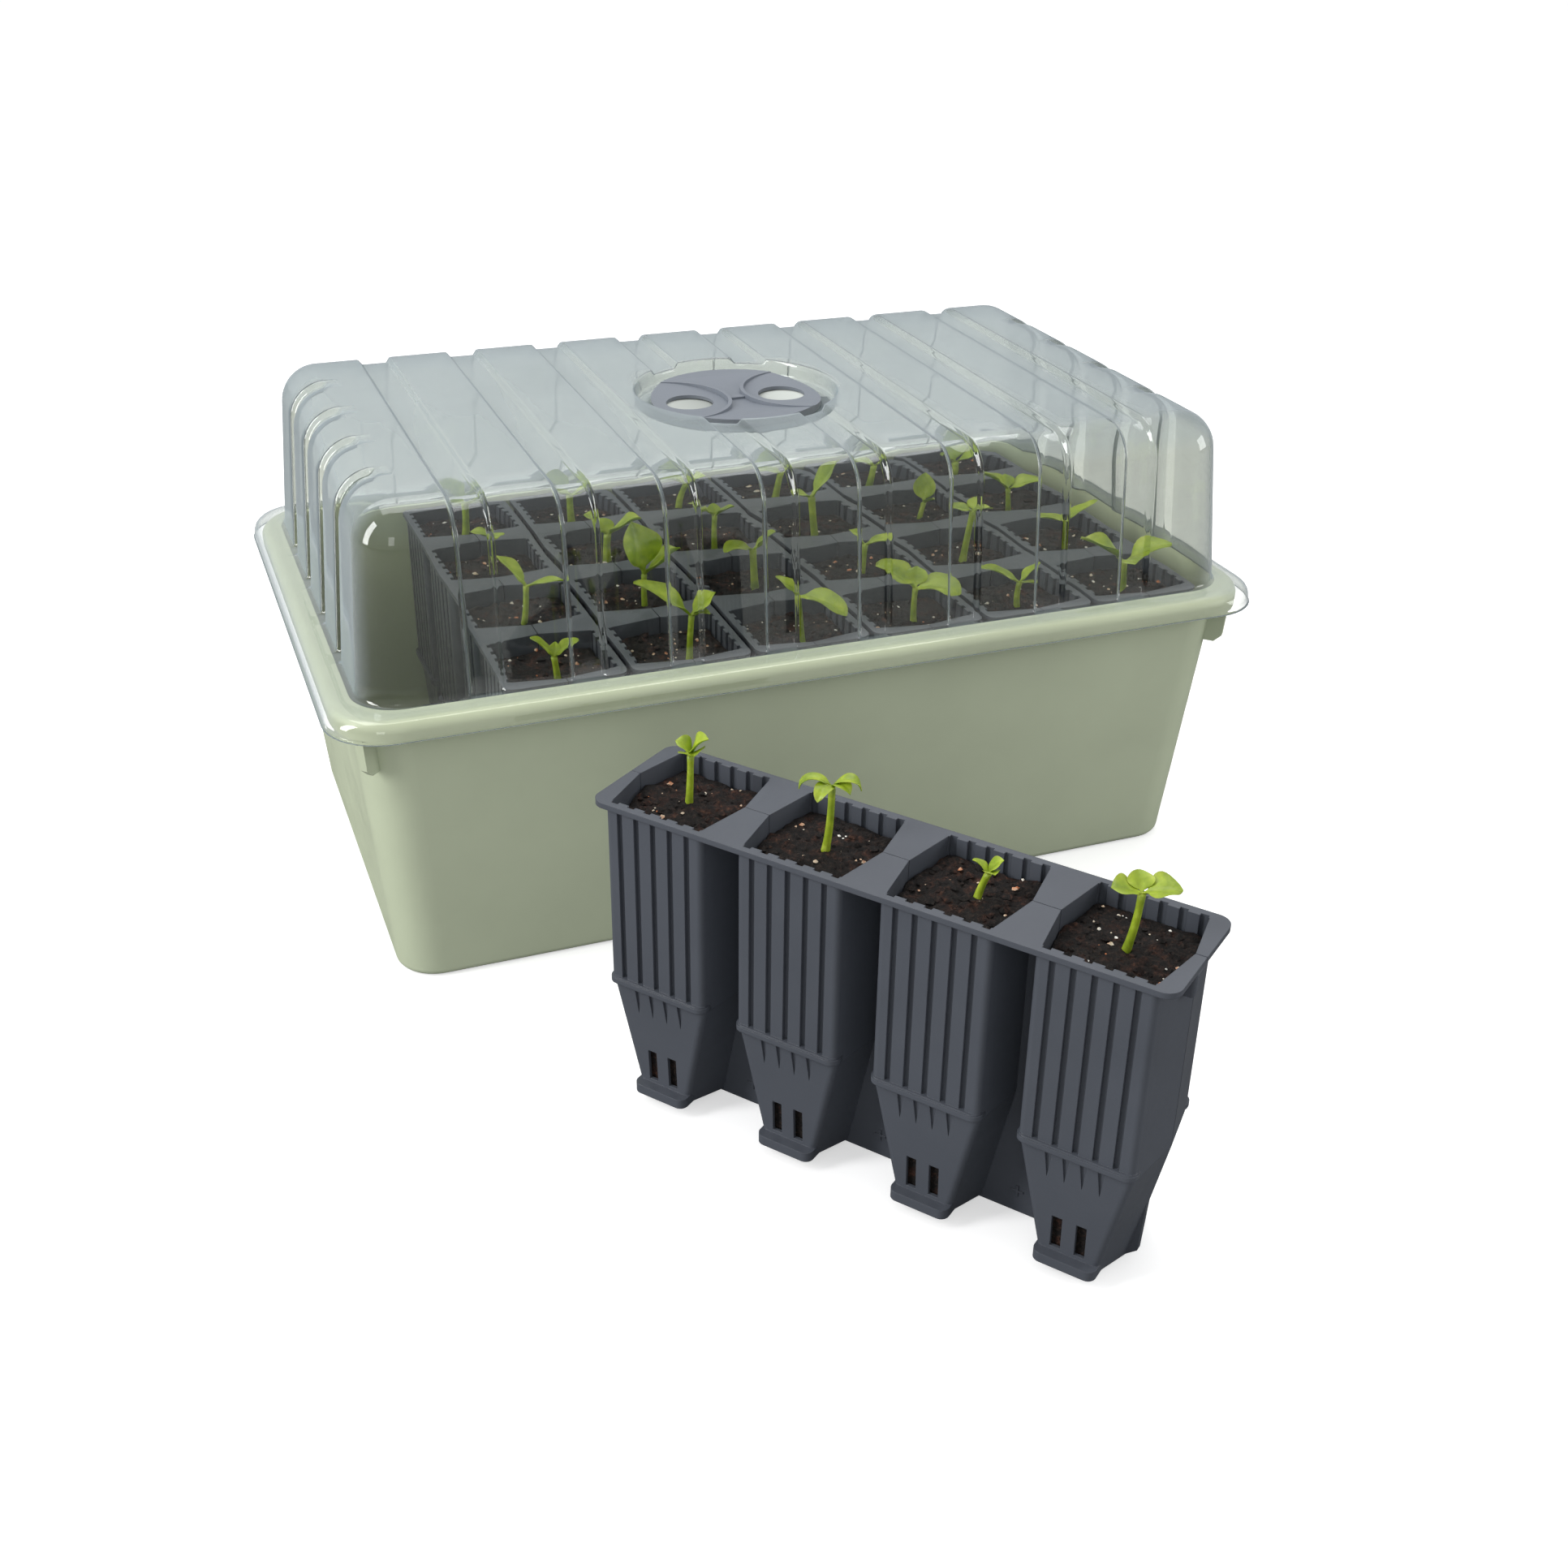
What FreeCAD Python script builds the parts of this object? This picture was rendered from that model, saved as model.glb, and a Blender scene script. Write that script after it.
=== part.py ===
import FreeCAD, Part
import math
import os

# Humidity dome tray: a deep seed tray, a clear ribbed dome with a turning vent, and book-type
# root-trainer strips of four cells each.  Millimetres, +Z up, X along the tray, Y across it.
# The origin is the centre of the tray's underside.

V = FreeCAD.Vector

# ---- tray -----------------------------------------------------------------------------------
TRAY_HEIGHT = 121.0
TRAY_BASE = (171.0, 97.6)          # half length and half width of the underside
TRAY_BASE_CORNER = 16.5
TRAY_FLARE = (9.8, 10.2)           # how far each side leans out from the underside to the rim
TRAY_CORNER = 19.2                 # corner radius at the rim
TRAY_WALL = 1.7
TRAY_FLOOR = 1.6
TRAY_FOOT_ROUND = 3.0
RIM_HALF = (187.5, 116.5)
RIM_CORNER = 27.0
RIM_DEPTH = 8.0
RIM_ROUND = 4.0
LUG_REACH = 25.5                   # from the centre of the wall's corner arc
LUG_THICKNESS = 2.6
LUG_DROP = 17.0                    # below the rim's skirt

# ---- dome -----------------------------------------------------------------------------------
DOME_WALL = 0.9
DOME_SEAT = TRAY_HEIGHT + 0.2      # underside of the dome's flange
DOME_HEIGHT = 71.0                 # flange underside to the flat top
DOME_BASE = (177.5, 106.3)
DOME_BASE_CORNER = 17.0
DOME_TOP = (171.5, 100.3)
DOME_TOP_CORNER = 19.0
DOME_EDGE_ROUND = 16.0
DOME_LIP_HALF = (190.0, 119.0)
DOME_LIP_CORNER = 22.0
DOME_LIP_DROP = 6.5
DOME_LIP_FLARE = 0.8
GROOVE_COUNT = 8
GROOVE_PITCH = 37.8
GROOVE_WIDTH = 14.2
GROOVE_DEPTH = 2.2
END_GROOVE_Y = (-56.7, -18.9, 18.9, 56.7)
END_GROOVE_WIDTH = 11.0
END_GROOVE_REACH = 14.5            # how far each end groove runs in over the top
DOME_TOP_Z = DOME_SEAT + DOME_HEIGHT

# ---- vent -----------------------------------------------------------------------------------
# The disc's holes lie along X and the dome's along Y, so the vent is shut until it is turned.
RECESS_RADIUS = 41.5
RECESS_DEPTH = 6.4
VENT_RADIUS = 35.0
VENT_THICKNESS = 3.2
VENT_GAP = 0.3
VALLEY_DEPTH = 2.0                 # the disc's top is hollowed along X, leaving the ribs standing
VALLEY_HALF = 27.0
VENT_HOLE_RADIUS = 9.7
VENT_HOLE_OFFSET = 20.0
DOME_HOLE_RADIUS = 9.0
PIVOT_RADIUS = 3.0
PIVOT_CLEARANCE = 0.08
PIVOT_HEAD_RADIUS = 4.4
PIVOT_HEAD_HEIGHT = 1.6
RIB_CENTRE = 30.2
RIB_RADIUS = 26.9
RIB_WIDTH = 1.5
GRIP_BAR = (7.4, 3.4, 0.9)         # length, width and height of the bar between the ribs

# ---- strips ---------------------------------------------------------------------------------
STRIP_HEIGHT = 118.3
STRIP_LENGTH = 203.0
STRIP_WIDTH = 47.0
STRIP_CORNER = 5.0
FLANGE_THICKNESS = 2.0
SEAM_GAP = 0.15                    # each half stops this far short of the seam
CELL_COUNT = 4
CELL_PITCH = 51.3
CELL_MID = 21.0                    # half width of a cell at the seam
CELL_FRONT = 17.7                  # half width of a cell at its outer face
CELL_DEPTH = 20.0                  # seam to the inside of the outer face
CELL_WALL = 1.2
CELL_ROUND = 2.2                   # on the cell's outer upright corners
PAD_DEPTH = 22.4                   # seam to the face of the pads
PAD_COUNT = 6
PAD_PITCH = 6.6
FACE_STEP = 0.9                    # from the face of the pads back to the face below the bead
PAD_SLOT = 2.0
PAD_SLOT_DEPTH = 1.4
NOTCH_PITCH = 6.4
NOTCH_WIDTH = 2.6
NOTCH_DEPTH = 1.2
TAPER_Z = 48.0                     # where the cells start to narrow
BEAD_HEIGHT = 2.8
BEAD_PROUD = 1.3
BEAD_BEVEL = 0.5
BEAD_RUN = 7.5                     # how far back from its face the bead reaches
FOOT_MID = 12.2                    # inside half width of the cell's foot at the seam
FOOT_FRONT = 8.2
FOOT_DEPTH = 18.0
FOOT_Z = 4.4                       # outer edge of the foot, above the seam's bottom edge
FOOT_FLOOR = 1.2
LIP_HALF = 10.6
LIP_PROUD = 23.2
LIP_HEIGHT = 3.6
LIP_CORNER = 3.0
LIP_RUN = 12.0                     # how far back from its edge the lip reaches
DRAIN_WIDTH = 3.5
DRAIN_HEIGHT = 12.6
DRAIN_Z = 9.4
DRAIN_OFFSET = 4.1
DART_COUNT = 4
DART_PITCH = 5.8
DART_LENGTH = 11.0
DART_HALF = 1.3
DART_DEPTH = 1.0
WEB_THICKNESS = 1.1
WEB_TOP_HALF = 99.0
WEB_FOOT_HALF = 93.0
CLIP_SIZE = (3.4, 7.0, 8.5)         # reach beyond the end wall, width and drop
SOIL_GAP = 0.3
SOIL_TOP = STRIP_HEIGHT - 6.2
STRIP_REST_GAP = 0.2              # a strip in the tray stands this far off the floor

STRIP_PITCH = 49.0
STRIP_FIRST_X = -101.5
STRIP_COUNT = 6
LOOSE_CENTRE = (-37.6, -252.2)
LOOSE_ANGLE = -53.1

# One row per seedling: stem foot (along, across), stem top shift (along, across), stem height,
# then its leaves as (heading, rise, length, width), angles in degrees in the tray's own axes.
STEM_RADIUS = 1.1
STEM_SIDES = 10
LEAF_THICKNESS = 0.7
LEAF_SIDES = 10
SEEDLINGS = {
    "strip_1": [
        ((-8, 0), (0, -1), 9, [(158, 40, 10, 6), (-20, 32, 10, 6)]),
        ((-6, 0), (0, 2), 16, [(150, 38, 14, 9), (-22, 4, 12, 6)]),
        ((-2, 0), (0, 1), 15, [(165, 10, 9, 8), (0, 5, 5, 4)]),
        ((-5, 0), (0, 0), 18, [(160, 20, 10, 8), (-20, 20, 10, 8)]),
    ],
    "strip_2": [
        ((-8, 3), (0, 1), 18, [(162, 28, 24, 11), (-5, 45, 12, 7)]),
        ((-5, 2), (0, 0), 14, [(120, 68, 20, 11), (-15, 35, 16, 12)]),
        ((-4, 3), (0, 0), 12, [(160, 34, 13, 8), (-20, 30, 12, 10)]),
        ((-4, 0), (0, -1), 15, [(160, 30, 12, 9), (-20, 25, 12, 9)]),
    ],
    "strip_3": [
        ((-8, 1), (0, -2), 20, [(150, 45, 9, 6), (-40, -38, 19, 11)]),
        ((-1, 2), (0, -1), 17, [(175, -30, 10, 7), (-20, 35, 11, 8)]),
        ((-5, 1), (0, 0), 15, [(160, 20, 11, 6), (-20, 35, 7, 5)]),
        ((-5, 1), (0, 2), 13, [(160, 30, 11, 8), (-20, 20, 10, 8)]),
    ],
    "strip_4": [
        ((-3, 2), (0, 0), 14, [(150, 22, 15, 12), (-35, -25, 17, 13)]),
        ((-4, 1), (0, 1), 14, [(150, 35, 8, 5), (-20, 10, 9, 5)]),
        ((-5, 0), (0, -2), 18, [(165, 10, 8, 8), (-5, 52, 19, 10)]),
        ((-5, 0), (0, 1), 13, [(160, 20, 10, 6), (-20, 20, 8, 6)]),
    ],
    "strip_5": [
        ((-3, 0), (0, 0), 10, [(162, 15, 14, 9), (-10, 50, 12, 5)]),
        ((-2, 0), (0, 3), 22, [(158, 5, 7, 4), (-22, 5, 7, 4)]),
        ((0, 4), (0, 2), 7, [(60, 70, 12, 8), (-60, 20, 5, 4)]),
        ((-5, -1), (0, 1), 11, [(160, 30, 8, 5), (-20, 30, 8, 5)]),
    ],
    "strip_6": [
        ((-6, -1), (0, -1), 14, [(155, 22, 20, 13), (-25, 22, 21, 10)]),
        ((-4, 1), (0, 0), 12, [(165, 5, 13, 7), (-10, 35, 15, 5)]),
        ((-4, -1), (0, -1), 10, [(155, 35, 12, 8), (-22, 12, 14, 7)]),
        ((-5, -4), (0, 0), 8, [(120, 50, 12, 9), (-25, 25, 11, 8)]),
    ],
    "loose_strip": [
        ((-2, -1), (1, 0), 19, [(130, 20, 8, 7), (-10, 15, 8, 7)]),
        ((0, 0), (2, 0), 23, [(160, -8, 9, 5), (-30, -12, 9, 5)]),
        ((-1, 2), (3, 1), 12, [(155, 10, 7, 5), (-20, 30, 7, 5)]),
        ((3, -2), (1, 0), 23, [(160, 18, 11, 8), (-25, 8, 12, 8)]),
    ],
}


# ---- helpers --------------------------------------------------------------------------------
def box(x0, x1, y0, y1, z0, z1):
    return Part.makeBox(x1 - x0, y1 - y0, z1 - z0, V(x0, y0, z0))


def disc(radius, z0, z1, x=0.0, y=0.0):
    return Part.makeCylinder(radius, z1 - z0, V(x, y, z0))


def polygon(points):
    return Part.makePolygon([V(*p) for p in points] + [V(*points[0])])


def prism(points, direction):
    return Part.Face(polygon(points)).extrude(V(*direction))


def loft(wires):
    return Part.makeLoft(wires, True, True)


def fuse_all(shapes):
    return shapes[0].multiFuse(shapes[1:]) if len(shapes) > 1 else shapes[0]


def rounded_rectangle(half_x, half_y, radius, z):
    """A closed wire of four straight sides and four quarter arcs, level at z."""
    edges = []
    corners = [(1, 1), (-1, 1), (-1, -1), (1, -1)]
    centres = [V(sx * (half_x - radius), sy * (half_y - radius), z) for sx, sy in corners]

    def on_arc(centre, degrees):
        angle = math.radians(degrees)
        return centre + V(radius * math.cos(angle), radius * math.sin(angle), 0)

    for i, centre in enumerate(centres):
        start, middle, end = (on_arc(centre, 90 * i + step) for step in (0, 45, 90))
        edges.append(Part.Arc(start, middle, end).toShape())
        following = on_arc(centres[(i + 1) % 4], 90 * (i + 1))
        edges.append(Part.makeLine(end, following))
    return Part.Wire(edges)


def slab(half, radius, z0, z1):
    face = Part.Face(rounded_rectangle(half[0], half[1], radius, z0))
    return face.extrude(V(0, 0, z1 - z0))


def round_level_edges(solid, z, radius):
    """Round every edge that lies flat at height z."""
    level = [e for e in solid.Edges if abs(e.BoundBox.ZMin - z) < 1e-4 and abs(e.BoundBox.ZMax - z) < 1e-4]
    return solid.makeFillet(radius, level)


# ---- tray -----------------------------------------------------------------------------------
def tray_body(inset, z0):
    """The tapering tub, drawn in by inset, from z0 up to the rim."""
    def outline(z):
        share = z / TRAY_HEIGHT
        half = [b + f * share - inset for b, f in zip(TRAY_BASE, TRAY_FLARE)]
        corner = TRAY_BASE_CORNER + (TRAY_CORNER - TRAY_BASE_CORNER) * share - inset
        return rounded_rectangle(half[0], half[1], corner, z)
    tub = loft([outline(z0), outline(TRAY_HEIGHT)])
    return round_level_edges(tub, z0, TRAY_FOOT_ROUND - 0.5 * inset)


def corner_lugs():
    """Upright stop plates under the rim, one on the diagonal of each corner."""
    centre_x = TRAY_BASE[0] + TRAY_FLARE[0] - TRAY_CORNER
    centre_y = TRAY_BASE[1] + TRAY_FLARE[1] - TRAY_CORNER
    low = TRAY_HEIGHT - RIM_DEPTH - LUG_DROP
    high = TRAY_HEIGHT - TRAY_WALL
    inner = TRAY_CORNER - 6.0
    corner = 3.0
    lugs = []
    for sx, sy in ((1, 1), (-1, 1), (-1, -1), (1, -1)):
        heading = math.degrees(math.atan2(sy, sx))
        outline = [(inner, low), (LUG_REACH - corner - 1.5, low), (LUG_REACH - 1.5, low + corner),
                   (LUG_REACH, high), (inner, high)]
        plate = prism([(r, -LUG_THICKNESS / 2, z) for r, z in outline], (0, LUG_THICKNESS, 0))
        plate.rotate(V(0, 0, 0), V(0, 0, 1), heading)
        plate.translate(V(sx * centre_x, sy * centre_y, 0))
        lugs.append(plate)
    return fuse_all(lugs)


def make_tray():
    tub = tray_body(0.0, 0.0)
    hollow = tray_body(TRAY_WALL, TRAY_FLOOR)
    skirt = TRAY_HEIGHT - RIM_DEPTH
    rim = round_level_edges(slab(RIM_HALF, RIM_CORNER, skirt, TRAY_HEIGHT), TRAY_HEIGHT, RIM_ROUND)
    under_half = [h - TRAY_WALL for h in RIM_HALF]
    under = slab(under_half, RIM_CORNER - TRAY_WALL, skirt - 1.0, TRAY_HEIGHT - TRAY_WALL)
    under = round_level_edges(under, TRAY_HEIGHT - TRAY_WALL, RIM_ROUND - TRAY_WALL)
    rim = rim.cut(under)
    return tub.multiFuse([rim, corner_lugs()]).cut(hollow).removeSplitter()


# ---- dome -----------------------------------------------------------------------------------
def dome_body(inset, z0=DOME_SEAT):
    """The dome's tapering block drawn in by inset on the sides and the top, from z0 up."""
    def outline(z):
        share = (z - DOME_SEAT) / DOME_HEIGHT
        half = [b + (t - b) * share - inset for b, t in zip(DOME_BASE, DOME_TOP)]
        corner = DOME_BASE_CORNER + (DOME_TOP_CORNER - DOME_BASE_CORNER) * share - inset
        return rounded_rectangle(half[0], half[1], corner, z)
    top = DOME_TOP_Z - inset
    return round_level_edges(loft([outline(z0), outline(top)]), top, DOME_EDGE_ROUND - inset)


def groove_bands(widening, floor_inset, z0):
    """The material outside the groove floors, within the bands that the grooves follow."""
    half_width = GROOVE_WIDTH / 2 + widening
    bands = []
    for i in range(GROOVE_COUNT):
        x = (i - (GROOVE_COUNT - 1) / 2) * GROOVE_PITCH
        bands.append(box(x - half_width, x + half_width, -150, 150, z0, DOME_TOP_Z + 10))
    half_width = END_GROOVE_WIDTH / 2 + widening
    inner_end = DOME_TOP[0] - END_GROOVE_REACH - widening
    for side in (-1, 1):
        for y in END_GROOVE_Y:
            x0, x1 = sorted((side * inner_end, side * 200))
            bands.append(box(x0, x1, y - half_width, y + half_width, z0, DOME_TOP_Z + 10))
    return fuse_all(bands).cut(dome_body(floor_inset, z0 - 1.0))


def make_dome():
    recess_floor = DOME_TOP_Z - RECESS_DEPTH
    low = DOME_SEAT - DOME_LIP_DROP
    outside = dome_body(0.0).cut(groove_bands(0.0, GROOVE_DEPTH, DOME_SEAT - 0.5))
    outside = outside.cut(disc(RECESS_RADIUS, recess_floor, DOME_TOP_Z + 5))
    inside = dome_body(DOME_WALL, DOME_SEAT - 3.0)
    inside = inside.cut(groove_bands(DOME_WALL, GROOVE_DEPTH + DOME_WALL, DOME_SEAT - 4.0))
    inside = inside.cut(disc(RECESS_RADIUS + DOME_WALL, recess_floor - DOME_WALL, DOME_TOP_Z + 5))

    flange_top = DOME_SEAT + DOME_WALL
    flange = slab(DOME_LIP_HALF, DOME_LIP_CORNER, low, flange_top)
    flange = round_level_edges(flange, flange_top, RIM_ROUND + DOME_WALL)
    under_half = [h - DOME_WALL for h in DOME_LIP_HALF]
    under = slab(under_half, DOME_LIP_CORNER - DOME_WALL, low - 1.0, DOME_SEAT)
    flare_half = [h + DOME_LIP_FLARE for h in DOME_LIP_HALF]
    flare = slab(flare_half, DOME_LIP_CORNER + DOME_LIP_FLARE, low, low + DOME_WALL)
    flange = flange.fuse(flare).cut(round_level_edges(under, DOME_SEAT, RIM_ROUND))

    dome = flange.fuse(outside).cut(inside)
    holes = [disc(DOME_HOLE_RADIUS, recess_floor - 3, recess_floor + 1, 0, side * VENT_HOLE_OFFSET)
             for side in (-1, 1)]
    holes.append(disc(PIVOT_RADIUS + PIVOT_CLEARANCE, recess_floor - 3, recess_floor + 1))
    return dome.cut(fuse_all(holes)).removeSplitter()


# ---- vent -----------------------------------------------------------------------------------
def make_vent():
    """A disc hollowed along X by a wide shallow trough, with a curved rib round each hole."""
    low = DOME_TOP_Z - RECESS_DEPTH + VENT_GAP
    high = low + VENT_THICKNESS
    plate = disc(VENT_RADIUS, low, high)
    trough_radius = (VALLEY_HALF ** 2 + VALLEY_DEPTH ** 2) / (2 * VALLEY_DEPTH)
    trough_axis = V(-60, 0, high - VALLEY_DEPTH + trough_radius)
    trough = Part.makeCylinder(trough_radius, 120, trough_axis, V(1, 0, 0))
    ribs = []
    for side in (-1, 1):
        x = side * RIB_CENTRE
        ring = disc(RIB_RADIUS, low, high, x).cut(disc(RIB_RADIUS - RIB_WIDTH, low, high, x))
        ribs.append(ring.common(disc(VENT_RADIUS, low, high)))
    length, width, rise = GRIP_BAR
    floor = high - VALLEY_DEPTH
    bar = box(-length / 2, length / 2, -width / 2, width / 2, floor - 0.5, floor + rise)
    plate = plate.cut(trough).multiFuse(ribs + [bar])
    holes = [disc(VENT_HOLE_RADIUS, low - 1, high + 1, side * VENT_HOLE_OFFSET) for side in (-1, 1)]
    plate = plate.cut(fuse_all(holes))
    floor_under = DOME_TOP_Z - RECESS_DEPTH - DOME_WALL
    head_top = floor_under - VENT_GAP
    pin = disc(PIVOT_RADIUS, head_top - 0.5, low + 0.5)
    head = disc(PIVOT_HEAD_RADIUS, head_top - PIVOT_HEAD_HEIGHT, head_top)
    return plate.multiFuse([pin, head]).removeSplitter()


# ---- strips ---------------------------------------------------------------------------------
# A half strip is drawn with its seam on the XZ plane and its cells towards -Y.
def cell_section(mid, front, depth, z, seam_y=0.0):
    return polygon([(-mid, seam_y, z), (-front, -depth, z), (front, -depth, z), (mid, seam_y, z)])


def foot_section(mid, front, depth, drop, seam_y=0.0):
    """The sloping end of a cell: low at the seam, higher at the outer face."""
    low = drop + 0.8
    return polygon([(-mid, seam_y, low), (-front, -depth, FOOT_Z + drop),
                    (front, -depth, FOOT_Z + drop), (mid, seam_y, low)])


def cell_outside():
    """One half cell as a solid block, with its bead and foot lip."""
    wall = CELL_WALL
    top = STRIP_HEIGHT - 0.5
    mid = CELL_MID + wall
    front = CELL_FRONT + wall - 0.2
    upper = prism([(-mid, 0, TAPER_Z), (-front - 0.8, -CELL_DEPTH + 2, TAPER_Z),
                   (-front, -PAD_DEPTH, TAPER_Z), (front, -PAD_DEPTH, TAPER_Z),
                   (front + 0.8, -CELL_DEPTH + 2, TAPER_Z), (mid, 0, TAPER_Z)],
                  (0, 0, top - TAPER_Z))
    lower = loft([cell_section(mid, front, PAD_DEPTH - FACE_STEP, TAPER_Z),
                  foot_section(FOOT_MID + wall, FOOT_FRONT + wall, FOOT_DEPTH + wall, 0.0)])
    blocks = [round_outer_corners(upper), round_outer_corners(lower)]
    for proud, inset in ((BEAD_PROUD, BEAD_BEVEL), (BEAD_PROUD - BEAD_BEVEL, 0.0)):
        bead = slab((front + proud - 0.3, BEAD_RUN / 2), CELL_ROUND + proud,
                    TAPER_Z + inset, TAPER_Z + BEAD_HEIGHT - inset)
        blocks.append(bead.translated(V(0, BEAD_RUN / 2 - PAD_DEPTH - proud, 0)))
    lip = slab((LIP_HALF, LIP_RUN / 2), LIP_CORNER, FOOT_Z, FOOT_Z + LIP_HEIGHT)
    blocks.append(lip.translated(V(0, LIP_RUN / 2 - LIP_PROUD, 0)))
    return fuse_all(blocks)


def round_outer_corners(block):
    """Rounds the two upright or slanting corners of a cell's outer face."""
    corners = []
    for edge in block.Edges:
        ends = [v.Point for v in edge.Vertexes]
        rise = abs(ends[0].z - ends[1].z)
        if rise > 10 and max(p.y for p in ends) < -FOOT_DEPTH:
            corners.append(edge)
    return block.makeFillet(CELL_ROUND, corners)


def cell_hollow():
    """The root space of one half cell, running out past the seam and the top."""
    past_top = STRIP_HEIGHT + 1.0
    upper = prism([(-CELL_MID, 0.5, TAPER_Z), (-CELL_MID, 0, TAPER_Z), (-CELL_FRONT, -CELL_DEPTH, TAPER_Z),
                   (CELL_FRONT, -CELL_DEPTH, TAPER_Z), (CELL_MID, 0, TAPER_Z), (CELL_MID, 0.5, TAPER_Z)],
                  (0, 0, past_top - TAPER_Z))
    lower = loft([cell_section(CELL_MID, CELL_FRONT, CELL_DEPTH, TAPER_Z),
                  foot_section(FOOT_MID, FOOT_FRONT, FOOT_DEPTH, FOOT_FLOOR)])
    return upper.fuse(lower)


def cell_cuts():
    """Slots between the pads, notches inside them, darts under the bead and drain slots."""
    cuts = []
    outer = -PAD_DEPTH - 2.0
    slot_top = STRIP_HEIGHT - FLANGE_THICKNESS
    for i in range(PAD_COUNT - 1):
        x = (i - (PAD_COUNT - 2) / 2) * PAD_PITCH
        cuts.append(box(x - PAD_SLOT / 2, x + PAD_SLOT / 2, outer, -PAD_DEPTH + PAD_SLOT_DEPTH,
                        TAPER_Z + BEAD_HEIGHT, slot_top))
    for i in range(PAD_COUNT):
        x = (i - (PAD_COUNT - 1) / 2) * NOTCH_PITCH
        cuts.append(box(x - NOTCH_WIDTH / 2, x + NOTCH_WIDTH / 2, -CELL_DEPTH - NOTCH_DEPTH,
                        -CELL_DEPTH + 1.0, TAPER_Z + 4.0, STRIP_HEIGHT + 1.0))
    for i in range(DART_COUNT):
        x = (i - (DART_COUNT - 1) / 2) * DART_PITCH
        dart = prism([(x - DART_HALF, outer, TAPER_Z), (x + DART_HALF, outer, TAPER_Z),
                      (x, outer, TAPER_Z - DART_LENGTH)], (0, -outer - PAD_DEPTH + FACE_STEP + DART_DEPTH, 0))
        cuts.append(dart)
    for side in (-1, 1):
        x = side * DRAIN_OFFSET
        cuts.append(box(x - DRAIN_WIDTH / 2, x + DRAIN_WIDTH / 2, outer, -FOOT_DEPTH + 4.0,
                        DRAIN_Z, DRAIN_Z + DRAIN_HEIGHT))
    return cuts


def cell_centres():
    return [(i - (CELL_COUNT - 1) / 2) * CELL_PITCH for i in range(CELL_COUNT)]


def half_flange():
    """Half of the strip's flat top, with rounded outer corners."""
    plate = slab((STRIP_LENGTH / 2, STRIP_WIDTH / 2), STRIP_CORNER,
                 STRIP_HEIGHT - FLANGE_THICKNESS, STRIP_HEIGHT)
    return plate.common(box(-150, 150, -50, -SEAM_GAP, 0, 200))


def seam_web():
    """The upright plate along the seam, narrowing towards the book's hinge line at the bottom."""
    corner = 4.0
    outline = [(-WEB_TOP_HALF, STRIP_HEIGHT - 1), (-WEB_FOOT_HALF - 0.5, corner),
               (-WEB_FOOT_HALF + corner, 0), (WEB_FOOT_HALF - corner, 0),
               (WEB_FOOT_HALF + 0.5, corner), (WEB_TOP_HALF, STRIP_HEIGHT - 1)]
    return prism([(x, -SEAM_GAP, z) for x, z in outline], (0, -WEB_THICKNESS, 0))


def web_crosses():
    """Small raised crosses low on the webs between the cells."""
    y = -SEAM_GAP - WEB_THICKNESS
    arms = []
    for x in (-CELL_PITCH, 0.0, CELL_PITCH):
        for half_x, half_z in ((2.2, 0.4), (0.4, 2.2)):
            arms.append(box(x - half_x, x + half_x, y - 0.4, y + 0.2, 8.5 - half_z, 8.5 + half_z))
    return arms


def make_half_strip():
    outside = cell_outside().cut(fuse_all(cell_cuts()))
    hollow = cell_hollow()
    outsides = []
    hollows = []
    notches = fuse_all([c for c in cell_cuts() if c.BoundBox.ZMax > STRIP_HEIGHT])
    for x in cell_centres():
        outsides.append(outside.translated(V(x, 0, 0)))
        hollows.append(hollow.translated(V(x, 0, 0)))
        hollows.append(notches.translated(V(x, 0, 0)))
    clip_x, clip_y, clip_z = CLIP_SIZE
    clip_end = STRIP_LENGTH / 2
    clip_top = STRIP_HEIGHT - FLANGE_THICKNESS + 0.2
    clip = box(clip_end - clip_x, clip_end, -SEAM_GAP - clip_y, -SEAM_GAP, clip_top - clip_z, clip_top)
    clip = clip.makeFillet(1.2, [e for e in clip.Edges if e.BoundBox.XMin > clip_end - 0.01])
    half = fuse_all([half_flange(), seam_web(), clip] + web_crosses() + outsides)
    half = half.cut(fuse_all(hollows))
    return half.common(box(-150, 150, -60, -SEAM_GAP, -1, 200)).removeSplitter()


def make_soil():
    """Four plugs of compost, each filling its cell to just below the flange."""
    gap = SOIL_GAP
    plugs = []
    for x in cell_centres():
        sides = []
        for turn in (0, 180):
            upper = prism([(-CELL_MID + gap, 0, TAPER_Z), (-CELL_FRONT + gap, -CELL_DEPTH + gap, TAPER_Z),
                           (CELL_FRONT - gap, -CELL_DEPTH + gap, TAPER_Z), (CELL_MID - gap, 0, TAPER_Z)],
                          (0, 0, SOIL_TOP - TAPER_Z))
            lower = loft([cell_section(CELL_MID - gap, CELL_FRONT - gap, CELL_DEPTH - gap, TAPER_Z),
                          foot_section(FOOT_MID - gap, FOOT_FRONT - gap, FOOT_DEPTH - gap,
                                       FOOT_FLOOR + gap + 0.3)])
            side = upper.fuse(lower)
            side.rotate(V(0, 0, 0), V(0, 0, 1), turn)
            sides.append(side)
        plugs.append(sides[0].fuse(sides[1]).removeSplitter().translated(V(x, 0, 0)))
    return Part.makeCompound(plugs)


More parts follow.
